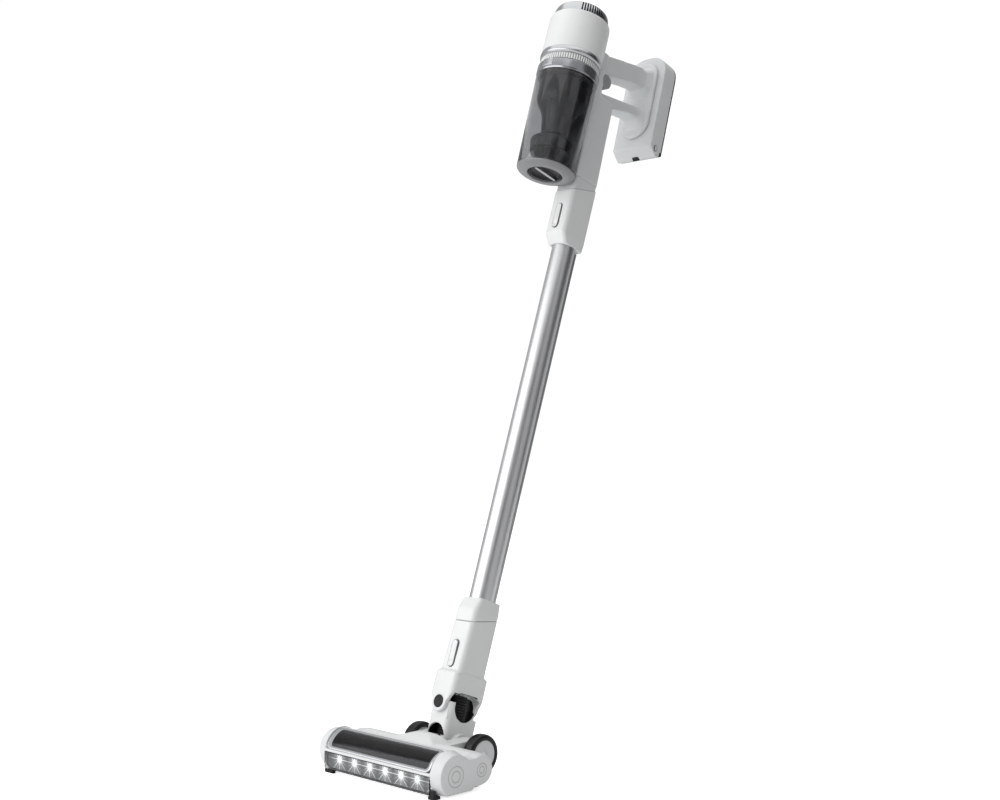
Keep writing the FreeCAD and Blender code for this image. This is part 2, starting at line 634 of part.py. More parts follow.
def tyre():
    """A wheel's tyre, turned about the axle, with rounded shoulders."""
    half = WHEEL_W / 2
    outline = [(HUB_R, -half + 1.5), (WHEEL_R - 4, -half), (WHEEL_R - 1, -half + 2.5), (WHEEL_R, -half + 5),
               (WHEEL_R, half - 5), (WHEEL_R - 1, half - 2.5), (WHEEL_R - 4, half), (HUB_R, half - 1.5)]
    return lathe(outline)


def hub():
    half = WHEEL_W / 2
    outline = [(AXLE_R + FIT, -half + 2), (HUB_R, -half + 2), (HUB_R, half - 1.5), (HUB_R - 2, half - 0.5),
               (9, half - 0.2), (AXLE_R + FIT, half - 1.2)]
    return lathe(outline)


def on_axle(shape, side):
    turned = shape.copy()
    turned.rotate(V(0, 0, 0), V(0, 1, 0), 90 * side)
    turned.translate(V(side * WHEEL_X, PIVOT_Y, PIVOT_Z))
    return turned


# ---------------------------------------------------------------- dust bin and cyclone, about their own axis
def bin_shell():
    outline = [(BIN_LOW_R, BIN_LOW_Z), (BIN_HIGH_R, BIN_HIGH_Z), (BIN_HIGH_R - BIN_WALL, BIN_HIGH_Z),
               (BIN_LOW_R - BIN_WALL, BIN_LOW_Z)]
    return lathe(outline)


def bin_floor():
    """The floor, a shallow bowl with a recess for the knob."""
    rim = BIN_LOW_R
    base = BIN_BASE_Z
    seat = KNOB_TOP_Z + WALL
    outline = [(0, KNOB_TOP_Z), (KNOB_RECESS_R, KNOB_TOP_Z), (KNOB_RECESS_R, base + 0.6),
               (KNOB_RECESS_R + 1.5, base), (rim - 8, base + 0.9), (rim - 3, base + 2.8), (rim - 0.6, base + 5),
               (rim, BIN_LOW_Z), (31, BIN_LOW_Z), (31, seat), (0, seat)]
    return lathe(outline)


def bin_knob():
    low = KNOB_TOP_Z - 7
    disc = rod_z(KNOB_R, low, KNOB_TOP_Z - GAP)
    bar = box(-3, 3, -KNOB_R, KNOB_R, low - 3, low).common(rod_z(KNOB_R - 1, low - 5, low + 5))
    return disc.fuse(bar).removeSplitter()


def cyclone_cone():
    wide = CYCLONE_R
    high = CYCLONE_HIGH_Z
    outline = [(0, CYCLONE_LOW_Z), (21, CYCLONE_LOW_Z), (26, 95), (wide, 116), (wide, high), (0, high)]
    return lathe(outline).cut(rod_z(18, CYCLONE_LOW_Z - 1, high - 4))


def cyclone_skirt():
    top = CYCLONE_LOW_Z
    return lathe([(14, 14), (14, 40), (33, 32), (35, 50), (21, top), (12, top), (12, 14)])


def bin_latch_space(margin):
    """Room for the latch in the front of the collar."""
    inner = COLLAR_R - 4 - 7 * margin
    return box(-10 - margin, 10 + margin, -60, -inner, 160 - margin, COLLAR_HIGH_Z - 0.5 + margin)


def bin_collar():
    outline = [(RING_IN_R, BIN_HIGH_Z), (BIN_HIGH_R, BIN_HIGH_Z), (COLLAR_R, BIN_HIGH_Z + 2),
               (COLLAR_R, COLLAR_HIGH_Z - 1), (COLLAR_R - 1, COLLAR_HIGH_Z), (RING_IN_R, COLLAR_HIGH_Z)]
    return lathe(outline).cut(bin_latch_space(GAP))


def bin_latch():
    return bin_latch_space(0).common(rod_z(COLLAR_R + 0.8, 150, 180))


def prefilter():
    return ring(RING_IN_R - 0.5, 14, BIN_HIGH_Z + 1, COLLAR_HIGH_Z - 1)


# ---------------------------------------------------------------- motor unit
def knurled_ring():
    """The locking ring: a fine toothed band."""
    outline = []
    for i in range(2 * KNURL_COUNT):
        angle = math.pi * i / KNURL_COUNT
        radius = KNURL_R if i % 2 else KNURL_R - 0.9
        outline.append(V(radius * math.sin(angle), radius * math.cos(angle), COLLAR_HIGH_Z + GAP))
    band = Part.Face(Part.makePolygon(outline + outline[:1])).extrude(V(0, 0, KNURL_HIGH_Z - COLLAR_HIGH_Z - GAP))
    return band.cut(rod_z(RING_IN_R, 100, 300))


def flange_ring():
    low = KNURL_HIGH_Z
    outline = [(RING_IN_R, low), (KNURL_R + 0.6, low), (FLANGE_R, low + 3), (FLANGE_R, low + 4.5),
               (FLANGE_R - 0.8, FLANGE_HIGH_Z), (RING_IN_R, FLANGE_HIGH_Z)]
    return lathe(outline)


def motor_housing():
    top = HOUSING_HIGH_Z
    outline = [(HOUSING_LOW_R, FLANGE_HIGH_Z), (HOUSING_HIGH_R, top - 8), (HOUSING_HIGH_R - 1.2, top - 3.2),
               (CAP_R + 0.4, top), (CAP_R - WALL, top), (HOUSING_LOW_R - WALL - 2, FLANGE_HIGH_Z)]
    return lathe(outline)


def exhaust_cap():
    """The silver cap: a low dome with air slots all round except in front."""
    low = HOUSING_HIGH_Z
    top = CAP_HIGH_Z
    inner_r = CAP_R - 5
    outer = [(0, low), (CAP_R, low), (CAP_R - 0.6, low + 8), (CAP_R - 2.8, top - 10.5), (CAP_R - 7.5, top - 6),
             (CAP_R - 15, top - 3), (CAP_R - 25, top - 1), (0, top)]
    inner = rod_z(inner_r, low - 1, top - 13).fuse(Part.makeCone(inner_r, inner_r - 14, 8, V(0, 0, top - 13)))
    slots = []
    for i in range(SLOT_COUNT):
        slot = box(-SLOT_W / 2, SLOT_W / 2, inner_r - 3, CAP_R + 5, low + 1.5, top - 7)
        slot.rotate(V(0, 0, 0), V(0, 0, 1), (i - (SLOT_COUNT - 1) / 2) * 5.6)
        slots.append(slot)
    return lathe(outer).cut(inner).cut(group(slots))


def exhaust_filter():
    return ring(CAP_R - 5.5, 30, HOUSING_HIGH_Z + 1, CAP_HIGH_Z - 14)


def suction_motor():
    can = rod_z(MOTOR_R, MOTOR_LOW_Z, MOTOR_HIGH_Z).fuse(rod_z(16, MOTOR_HIGH_Z, MOTOR_HIGH_Z + 8))
    return can.cut(rod_z(IMPELLER_SHAFT_R + FIT, MOTOR_LOW_Z - 10, MOTOR_HIGH_Z - 4))


def motor_mount():
    """A ring of rubber that holds the motor in its housing."""
    return ring(MOUNT_R, MOTOR_R, MOTOR_LOW_Z + 14, MOTOR_LOW_Z + 24)


def impeller():
    plate_z = IMPELLER_LOW_Z + 4
    top = plate_z + 8
    disc = rod_z(IMPELLER_R, IMPELLER_LOW_Z, plate_z).fuse(rod_z(9, plate_z, top))
    disc = disc.fuse(rod_z(IMPELLER_SHAFT_R, IMPELLER_LOW_Z, MOTOR_HIGH_Z - 8))
    for i in range(BLADE_COUNT):
        blade = box(-0.8, 0.8, 8, IMPELLER_R - 1, plate_z, top)
        blade.rotate(V(0, 0, 0), V(0, 0, 1), 360 / BLADE_COUNT * i)
        disc = disc.fuse(blade)
    return disc.removeSplitter()


# ---------------------------------------------------------------- handle
def bar_flare(low_z, high_z, spread, pad_low, pad_high):
    """The end of a bar widens towards the pad."""
    flare = rounded_taper((-BAR_X, BAR_X, low_z, high_z, 6, PAD_Y - 26),
                          (-BAR_X - 1.5, BAR_X + 1.5, low_z + 1, high_z + 4, 8, PAD_Y - 12))
    flare = flare.fuse(rounded_taper((-BAR_X - 1.5, BAR_X + 1.5, low_z + 1, high_z + 4, 8, PAD_Y - 12),
                                     (-BAR_X - spread, BAR_X + spread, pad_low, pad_high, 16, PAD_Y + 1)))
    flare.rotate(V(0, 0, 0), V(1, 0, 0), 90)
    return flare.mirror(V(0, 0, 0), V(0, 1, 0))


def upper_bar():
    outline = [(-40, 192), (-7, 200), (60, 220), (78, 224), (78, 255), (56.9, 250.5), (-14, 231.2), (-40, 225)]
    return side_prism(outline, -BAR_X, BAR_X).fuse(bar_flare(222, 253, 8, 211, 268))


def lower_bar():
    outline = [(-30, 141), (20, 153), (62, 167), (78, 170), (78, 185.7), (58, 181.4), (-7, 167.4), (-30, 162)]
    return side_prism(outline, -BAR_X, BAR_X).fuse(bar_flare(168, 184.5, 8, 156, 194))


def grip_pad():
    """The upright pad that carries the battery."""
    pad = rounded_prism(-PAD_X, PAD_X, PAD_LOW_Z, PAD_HIGH_Z, PAD_Y + 1.5, BATTERY_FRONT - GAP, PAD_X - 0.2)
    pad = pad.fuse(rounded_taper((-PAD_X + 2.5, PAD_X - 2.5, PAD_LOW_Z + 2.5, PAD_HIGH_Z - 2.5, PAD_X - 2.7, PAD_Y),
                                 (-PAD_X, PAD_X, PAD_LOW_Z, PAD_HIGH_Z, PAD_X - 0.2, PAD_Y + 1.5)))
    pad.rotate(V(0, 0, 0), V(1, 0, 0), 90)
    return pad.mirror(V(0, 0, 0), V(0, 1, 0))


def spine():
    body = rounded_prism(-SPINE_X, SPINE_X, -45, SPINE_REAR, 16, 160, NECK_CORNER)
    upright = rounded_prism(-SPINE_X, SPINE_X, -45, -7, 150, 232, NECK_CORNER)
    crest = rounded_prism(-SPINE_X, SPINE_X, -45, -22, 225, 247, 5)
    return body.fuse(upright).fuse(crest)


def barrel_space(radius, z0, z1):
    return placed(rod_z(radius, z0, z1), BARREL_IN_HAND)


def handle_frame():
    body = spine().fuse(upper_bar()).fuse(lower_bar()).fuse(grip_pad())
    body = body.cut(barrel_space(COLLAR_R + 1.0, -50, COLLAR_HIGH_Z + 2))
    body = body.cut(barrel_space(FLANGE_R, COLLAR_HIGH_Z, 320))
    duct = rounded_prism(-15.5, 15.5, -21, SPINE_REAR - WALL - 1, 10, 136, 5)
    body = body.cut(duct)
    for pull in (0, TRIGGER_PULL / 2, TRIGGER_PULL):
        space = trigger_form(BAR_X + 3, 0.7)
        space.rotate(V(0, *TRIGGER_PIVOT), V(1, 0, 0), pull)
        body = body.cut(space)
    return body.cut(trigger_pin()).removeSplitter()


def trigger_form(nose_x, margin):
    """The trigger: a round nose under the upper bar, with a narrow lever reaching up to the pin."""
    radius = TRIGGER_R + margin
    lever_x = TRIGGER_LEVER_X + margin
    eye_r = 6 + margin
    y, z = TRIGGER_PIVOT
    nose = rod_x(radius, -nose_x, nose_x, TRIGGER_Y, TRIGGER_Z)
    lever = side_prism([(TRIGGER_Y - eye_r - 2, TRIGGER_Z), (TRIGGER_Y + eye_r + 2, TRIGGER_Z), (y + eye_r, z),
                        (y - eye_r, z)], -lever_x, lever_x)
    return nose.fuse(lever).fuse(rod_x(eye_r, -lever_x, lever_x, y, z))


def trigger_pin():
    y, z = TRIGGER_PIVOT
    return rod_x(1.5, 0.5 - BAR_X, BAR_X - 0.5, y, z)


def trigger():
    y, z = TRIGGER_PIVOT
    body = trigger_form(BAR_X - 1, 0)
    return body.cut(rod_x(1.5 + FIT, -20, 20, y, z)).removeSplitter()


def inlet_port():
    """The handheld's lower band and the spigot that enters the wand."""
    band = rounded_prism(-NECK_X + 0.8, NECK_X - 0.8, CONNECTOR_FRONT + 1.2, CONNECTOR_REAR, 840, 892, NECK_CORNER)
    band = band.cut(below_seam(HIGH_SEAM_T, HIGH_SEAM_TILT, 0))
    spigot = rod_z(SPIGOT_R, HIGH_SEAM_T - SPIGOT_LENGTH, 880)
    port = placed(band.fuse(spigot).cut(rod_z(SPIGOT_R - SPIGOT_WALL, 800, 900)), STICK)
    trim = placed(box(-60, 60, -80, 80, 16, 60), HAND)
    space = placed(rod_z(COLLAR_R + 1.0, -80, 60), BARREL)
    return port.cut(trim).cut(space)


# ---------------------------------------------------------------- battery
def battery_form(front, rear, inset):
    """The pack: an arched top, straight sides and a foot that comes to a blunt edge."""
    half = BATTERY_X - inset
    top_r = BATTERY_TOP_R - inset
    high = BATTERY_HIGH_Z - inset
    low = BATTERY_LOW_Z - 20
    arch = box(-half, half, front, rear, low, high - top_r)
    arch = arch.fuse(box(-half + top_r, half - top_r, front, rear, low, high))
    for side in (-1, 1):
        arch = arch.fuse(rod_y(top_r, front, rear, side * (half - top_r), high - top_r))
    foot = [(BATTERY_FRONT + inset, 320), (BATTERY_FRONT + inset, BATTERY_LOW_Z + inset), (121, 112.5 + inset),
            (BATTERY_REAR, 117 + inset), (PLATE_REAR, 119 + inset), (PLATE_REAR, 320)]
    return arch.removeSplitter().common(side_prism(foot, -60, 60))


def button_space(side, depth, radius):
    """An upright oval hollow in a side of the pack for a release button."""
    outer = BATTERY_X + 1
    space = obround(radius, 121, 131, BATTERY_X - depth, outer)
    space.rotate(V(0, 0, 0), V(0, 0, 1), -90 * side)
    space.translate(V(0, 117.5, 0))
    return space


def battery_case():
    body = battery_form(BATTERY_FRONT, BATTERY_REAR, 0).cut(battery_form(BATTERY_FRONT + WALL, BATTERY_REAR, WALL))
    for side in (-1, 1):
        well = box(0, 7, 111, 124, 117, 135)
        well.translate(V(BATTERY_X - 8 if side > 0 else 1 - BATTERY_X, 0, 0))
        body = body.fuse(well.common(battery_form(BATTERY_FRONT, BATTERY_REAR, 0)))
        body = body.cut(button_space(side, 5.5, 3.2 + GAP))
    return body.cut(clip()).removeSplitter()


def battery_button(side):
    oval = button_space(side, 3.0, 3.2)
    limit = BATTERY_X + 0.5
    return oval.common(box(-limit, limit, 100, 140, 100, 150))


def battery_back():
    """The pack's black rear plate."""
    return battery_form(BATTERY_REAR, PLATE_REAR, 0.4)


def clip():
    return box(-6, 6, 117, 124, 110, 116).common(side_prism([(117, 114), (121, 110.8), (124, 113), (124, 116),
                                                              (117, 116)], -6, 6))


def battery_cells():
    cells = []
    for x in (-CELL_PITCH, 0, CELL_PITCH):
        for z0 in (CELL_LOW_Z, CELL_LOW_Z + CELL_LENGTH + 3):
            cells.append(rod_z(CELL_R, z0, z0 + CELL_LENGTH, 118.5, x))
    return group(cells)


def terminals():
    """Blade contacts between the pack and the handle."""
    return group([box(x - 0.5, x + 0.5, BATTERY_FRONT + WALL, BATTERY_FRONT + 5, 150, 162) for x in (-8, 0, 8)])


# ---------------------------------------------------------------- write every part
def write_wand():
    save("wand_tube", wand_tube(), STICK)
    save("wire_channel", wire_channel(), STICK)
    save("wand_wires", wires(), STICK)
    save("wand_collar", wand_collar(), STICK)
    save("wand_connector", wand_connector(), STICK)
    save("upper_button", latch_button(HIGH_BUTTON_LOW, HIGH_BUTTON_HIGH, CONNECTOR_FRONT), STICK)


def write_neck():
    save("head_adapter", head_adapter(), STICK)
    save("lower_button", latch_button(LOW_BUTTON_LOW, LOW_BUTTON_HIGH, ADAPTER_FRONT + 0.6), STICK)
    save("swing_pins", swing_pins(), STICK)
    save("swing_pin_caps", swing_pin_caps(), STICK)
    save("lower_neck", lower_neck(), STICK)
    save("neck_hose", neck_hose(), STICK)


def write_head():
    save("head_cover", head_cover())
    save("window_frame", window_frame())
    save("window_lens", window_lens())
    save("led_lens", led_lens())
    save("led_board", led_board())
    save("leds", leds())
    save("end_cap_right", end_cap(True))
    save("end_cap_left", mirrored(end_cap(False)))
    save("sole_plate", sole_plate())
    save("glides", glides())
    save("brush_core", brush_core())
    save("brush_pile", brush_pile())
    save("brush_motor", brush_motor())
    save("motor_pulley", motor_pulley())
    save("drive_belt", drive_belt())
    save("pivot_axles", group([pivot_axle(), mirrored(pivot_axle())]))
    for name, side in (("left", -1), ("right", 1)):
        save("tyre_" + name, on_axle(tyre(), side))
        save("hub_" + name, on_axle(hub(), side))


def write_bin():
    save("bin_shell", bin_shell(), BARREL)
    save("bin_floor", bin_floor(), BARREL)
    save("bin_knob", bin_knob(), BARREL)
    save("bin_collar", bin_collar(), BARREL)
    save("bin_latch", bin_latch(), BARREL)
    save("cyclone_cone", cyclone_cone(), BARREL)
    save("cyclone_skirt", cyclone_skirt(), BARREL)
    save("prefilter", prefilter(), BARREL)


def write_handheld():
    save("knurled_ring", knurled_ring(), BARREL)
    save("flange_ring", flange_ring(), BARREL)
    save("motor_housing", motor_housing(), BARREL)
    save("exhaust_cap", exhaust_cap(), BARREL)
    save("exhaust_filter", exhaust_filter(), BARREL)
    save("suction_motor", suction_motor(), BARREL)
    save("motor_mount", motor_mount(), BARREL)
    save("impeller", impeller(), BARREL)
    save("handle_frame", handle_frame(), HAND)
    save("trigger", trigger(), HAND)
    save("trigger_pin", trigger_pin(), HAND)
    inlet_port().exportStep("parts/inlet_port.step")


def write_battery():
    save("battery_case", battery_case(), HAND)
    save("battery_back", battery_back(), HAND)
    save("battery_cells", battery_cells(), HAND)
    save("battery_clip", clip(), HAND)
    save("battery_terminals", terminals(), HAND)
    save("battery_button_left", battery_button(-1), HAND)
    save("battery_button_right", battery_button(1), HAND)


write_wand()
write_neck()
write_head()
write_bin()
write_handheld()
write_battery()
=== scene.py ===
import math

import bmesh
import bpy
from mathutils import Matrix, Vector, noise


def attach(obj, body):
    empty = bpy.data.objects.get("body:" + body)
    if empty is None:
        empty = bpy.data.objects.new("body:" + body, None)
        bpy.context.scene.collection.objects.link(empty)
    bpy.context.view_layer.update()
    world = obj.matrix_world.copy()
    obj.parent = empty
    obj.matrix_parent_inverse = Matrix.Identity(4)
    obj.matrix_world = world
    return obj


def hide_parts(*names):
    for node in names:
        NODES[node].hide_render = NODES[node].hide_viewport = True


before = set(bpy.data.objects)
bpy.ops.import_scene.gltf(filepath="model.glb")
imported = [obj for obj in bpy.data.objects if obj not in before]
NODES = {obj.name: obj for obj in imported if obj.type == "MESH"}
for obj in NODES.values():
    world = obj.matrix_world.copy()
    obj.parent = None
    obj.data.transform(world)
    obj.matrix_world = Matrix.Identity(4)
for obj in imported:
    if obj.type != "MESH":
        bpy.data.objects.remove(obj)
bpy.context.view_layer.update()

MM = 0.001

# ---------------------------------------------------------------- frames of the object, as in the CAD (mm, degrees)
CENTRE_Y = 181.14
LEAN = 18.9
GRIP_TILT = 2.0
BARREL_TILT = -1.5
STICK_Z = 30.0
GRIP_T = 868.0
BARREL_Y = -76.4


def frame_at(place, tilt=0.0):
    return Matrix.Translation(place) @ Matrix.Rotation(math.radians(tilt), 4, "X")


FLOOR = frame_at((0, -CENTRE_Y, 0))
STICK = FLOOR @ frame_at((0, 0, STICK_Z), -LEAN)
HAND = STICK @ frame_at((0, 0, GRIP_T), GRIP_TILT)
BARREL = HAND @ frame_at((0, BARREL_Y, 0), BARREL_TILT)

# floor head
BRUSH_Y, BRUSH_Z = -101.0, 25.5
TUNNEL_Z, TUNNEL_R = 26.0, 31.5
PIVOT_Y, PIVOT_Z = 5.9, 28.5
WHEEL_X, WHEEL_W, WHEEL_R, HUB_R = 62.0, 18.0, 28.5, 20.5
LED_FRONT_Y, LED_LOW_Z, BAND_Z, COVER_X = -133.0, 5.5, 29.0, 108.0
LED_COUNT, LED_PITCH, LED_Z = 6, 32.0, 20.5
LOBE_Y, LOBE_Z = PIVOT_Y - 59.4, 28.0
END_FACE_X = 123.5
WINDOW_X, WINDOW_REAR, WINDOW_FRONT = 107.0, 93, 166
STRIP_BACK, STRIP_SLICES = 2.95, 216

# wand, neck and buttons
TUBE_R, TUBE_BORE_R, TUBE_LOW, TUBE_TOP = 18.0, 16.5, 197.2, 811.5
PIN_FRONT_Y, PIN_REAR_Y, PIN_Z = -37.0, 32.4, 58.7
HOSE_Y = -3.0
BUTTON_R, BUTTON_EDGE = 5.5, 0.75
UPPER_BUTTON, LOWER_BUTTON = (795, 836), (109, 148)
RELEASE_Y, RELEASE_LOW, RELEASE_HIGH, RELEASE_R = 117.5, 124.2, 127.8, 2.35

# motor unit
MOTOR_LOW, CAP_LOW, CAP_TOP = 194.2, 258.5, 283.9
GRIP_LOW, GRIP_TOP, GRIP_R, GRIP_RIBS, GRIP_DEPTH = 172.4, 183.9, 46.4, 72, 0.9

# camera: a long lens, low, from the front right
FOCAL, FILM = 50.42, 36.0
CAMERA_AZIMUTH, CAMERA_ELEVATION = 44.33, -1.3
CAMERA_PLACE = (1.44649, -1.37217 - CENTRE_Y * MM, 0.47596)

# stage (metres)
WORLD_SEEN, WORLD_LIGHT = 1.05, 0.52
FLOOR_HALF, FLOOR_GLOW = 6, 0.74


# ---------------------------------------------------------------- camera, light and floor
def add_camera():
    data = bpy.data.cameras.new("camera")
    data.lens = FOCAL
    data.sensor_width = FILM
    camera = bpy.data.objects.new("camera", data)
    bpy.context.scene.collection.objects.link(camera)
    azimuth, elevation = math.radians(CAMERA_AZIMUTH), math.radians(CAMERA_ELEVATION)
    look = Vector((-math.sin(azimuth) * math.cos(elevation), math.cos(azimuth) * math.cos(elevation),
                   -math.sin(elevation)))
    camera.location = CAMERA_PLACE
    camera.rotation_euler = look.to_track_quat("-Z", "Y").to_euler()
    bpy.context.scene.camera = camera


def add_light(name, place, target, size, watts, shape_y=None):
    """A soft rectangular lamp at place that faces target."""
    data = bpy.data.lights.new(name, "AREA")
    data.shape = "RECTANGLE"
    data.size = size
    data.size_y = shape_y or size
    data.energy = watts
    lamp = bpy.data.objects.new(name, data)
    lamp.location = place
    lamp.rotation_euler = (Vector(target) - Vector(place)).to_track_quat("-Z", "Y").to_euler()
    bpy.context.scene.collection.objects.link(lamp)


def add_world(seen, ambient):
    """White to the eye and through clear parts, dimmer as a light."""
    world = bpy.data.worlds.new("studio")
    world.use_nodes = True
    tree = world.node_tree
    backdrop = tree.nodes["Background"]
    backdrop.inputs["Color"].default_value = (1, 1, 1, 1)
    rays = tree.nodes.new("ShaderNodeLightPath")
    either = tree.nodes.new("ShaderNodeMath")
    either.operation = "MAXIMUM"
    level = tree.nodes.new("ShaderNodeMapRange")
    level.inputs["To Min"].default_value = ambient
    level.inputs["To Max"].default_value = seen
    tree.links.new(rays.outputs["Is Camera Ray"], either.inputs[0])
    tree.links.new(rays.outputs["Is Transmission Ray"], either.inputs[1])
    tree.links.new(either.outputs["Value"], level.inputs["Value"])
    tree.links.new(level.outputs["Result"], backdrop.inputs["Strength"])
    bpy.context.scene.world = world


def stage_sheet(name, corners, material, seen=True):
    mesh = bpy.data.meshes.new(name)
    mesh.from_pydata([Vector(c) for c in corners], [], [(0, 1, 2, 3)])
    mesh.materials.append(material)
    sheet = bpy.data.objects.new(name, mesh)
    bpy.context.scene.collection.objects.link(sheet)
    sheet.visible_camera = seen


def add_flag(name, azimuth, distance, width, low, high, material):
    """A dark board beside the vacuum, out of the camera's sight; it darkens one side and its reflections."""
    toward = Vector((math.cos(math.radians(azimuth)), math.sin(math.radians(azimuth)), 0)) * distance
    along = Vector((-toward.y, toward.x, 0)).normalized() * width / 2
    base, top = Vector((0, 0, low)), Vector((0, 0, high))
    corners = [toward - along + base, toward + along + base, toward + along + top, toward - along + top]
    stage_sheet(name, corners, material, False)


# ---------------------------------------------------------------- materials
def new_material(name):
    material = bpy.data.materials.new(name)
    material.use_nodes = True
    return material, material.node_tree, material.node_tree.nodes["Principled BSDF"]


def link(tree, source, target):
    tree.links.new(source, target)


def coordinates(tree, scale, tilt=0.0):
    """Object coordinates, stretched by scale, and turned about X to follow a leaning part."""
    place = tree.nodes.new("ShaderNodeTexCoord")
    mapping = tree.nodes.new("ShaderNodeMapping")
    mapping.vector_type = "TEXTURE"
    mapping.inputs["Rotation"].default_value = (math.radians(tilt), 0, 0)
    mapping.inputs["Scale"].default_value = [1 / s for s in scale]
    link(tree, place.outputs["Object"], mapping.inputs["Vector"])
    return mapping.outputs["Vector"]


def noise_value(tree, vector, detail=3.0, roughness=0.5):
    texture = tree.nodes.new("ShaderNodeTexNoise")
    texture.inputs["Scale"].default_value = 1.0
    texture.inputs["Detail"].default_value = detail
    texture.inputs["Roughness"].default_value = roughness
    link(tree, vector, texture.inputs["Vector"])
    return texture.outputs["Fac"]


def maths(tree, operation, *values):
    node = tree.nodes.new("ShaderNodeMath")
    node.operation = operation
    for socket, value in zip(node.inputs, values):
        if isinstance(value, float):
            socket.default_value = value
        else:
            link(tree, value, socket)
    return node.outputs["Value"]


def ranged(tree, value, low, high):
    node = tree.nodes.new("ShaderNodeMapRange")
    node.inputs["From Min"].default_value = 0.3
    node.inputs["From Max"].default_value = 0.7
    node.inputs["To Min"].default_value = low
    node.inputs["To Max"].default_value = high
    link(tree, value, node.inputs["Value"])
    return node.outputs["Result"]


def blended(tree, value, low, high):
    """A colour that goes from low to high with value."""
    ramp = tree.nodes.new("ShaderNodeValToRGB")
    ramp.color_ramp.elements[0].position = 0.3
    ramp.color_ramp.elements[1].position = 0.7
    ramp.color_ramp.elements[0].color = (*low, 1)
    ramp.color_ramp.elements[1].color = (*high, 1)
    link(tree, value, ramp.inputs["Fac"])
    return ramp.outputs["Color"]


def bumped(tree, shader, height, strength, distance):
    bump = tree.nodes.new("ShaderNodeBump")
    bump.inputs["Strength"].default_value = strength
    bump.inputs["Distance"].default_value = distance
    link(tree, height, bump.inputs["Height"])
    link(tree, bump.outputs["Normal"], shader.inputs["Normal"])


def shade(color, factor):
    return tuple(min(1.0, c * factor) for c in color)


def surface(name, color, roughness, grain=(900, 900, 900), relief=0.00002, vary=0.05, metal=0.0, coat=0.0,
            tilt=0.0, ior=1.5):
    """A moulded or cast surface: slow mottling in colour, fine grain in gloss and relief."""
    mottle, spread, grain_strength = 25.0, 0.06, 0.35
    material, tree, shader = new_material(name)
    shader.inputs["Metallic"].default_value = metal
    shader.inputs["Coat Weight"].default_value = coat
    shader.inputs["Coat Roughness"].default_value = 0.12
    shader.inputs["IOR"].default_value = ior
    slow = noise_value(tree, coordinates(tree, (mottle,) * 3), 4.0)
    fine = noise_value(tree, coordinates(tree, grain, tilt), 2.0)
    link(tree, blended(tree, slow, shade(color, 1 - vary), shade(color, 1 + vary)), shader.inputs["Base Color"])
    link(tree, ranged(tree, fine, roughness - spread, roughness + spread), shader.inputs["Roughness"])
    bumped(tree, shader, fine, grain_strength, relief)
    return material


def clear(name, color, roughness, ior=1.46):
    """Polished clear or smoked plastic, with faint flow marks."""
    material, tree, shader = new_material(name)
    shader.inputs["Transmission Weight"].default_value = 1.0
    shader.inputs["IOR"].default_value = ior
    slow = noise_value(tree, coordinates(tree, (12, 12, 12)), 3.0)
    fine = noise_value(tree, coordinates(tree, (60, 60, 8)), 2.0)
    link(tree, blended(tree, slow, shade(color, 0.94), shade(color, 1.06)), shader.inputs["Base Color"])
    link(tree, ranged(tree, fine, roughness, roughness + 0.03), shader.inputs["Roughness"])
    bumped(tree, shader, fine, 0.2, 0.00004)
    return material


def foam(name, color):
    """Open-cell filter foam: round pores, darker inside as painted shade."""
    material, tree, shader = new_material(name)
    cells = tree.nodes.new("ShaderNodeTexVoronoi")
    cells.inputs["Scale"].default_value = 700.0
    place = tree.nodes.new("ShaderNodeTexCoord")
    link(tree, place.outputs["Object"], cells.inputs["Vector"])
    link(tree, blended(tree, cells.outputs["Distance"], shade(color, 0.35), color), shader.inputs["Base Color"])
    shader.inputs["Roughness"].default_value = 0.95
    bumped(tree, shader, cells.outputs["Distance"], 0.8, 0.0006)
    return material


def pile_material(name, color):
    """Fine roller pile: fibres that run round the roller, in bands."""
    material, tree, shader = new_material(name)
    fibres = noise_value(tree, coordinates(tree, (2600, 700, 700)), 4.0, 0.7)
    tufts = noise_value(tree, coordinates(tree, (260, 120, 120)), 3.0)
    link(tree, blended(tree, fibres, shade(color, 0.45), shade(color, 1.5)), shader.inputs["Base Color"])
    link(tree, ranged(tree, tufts, 0.75, 1.0), shader.inputs["Roughness"])
    shader.inputs["Sheen Weight"].default_value = 0.4
    bumped(tree, shader, fibres, 0.9, 0.0008)
    return material


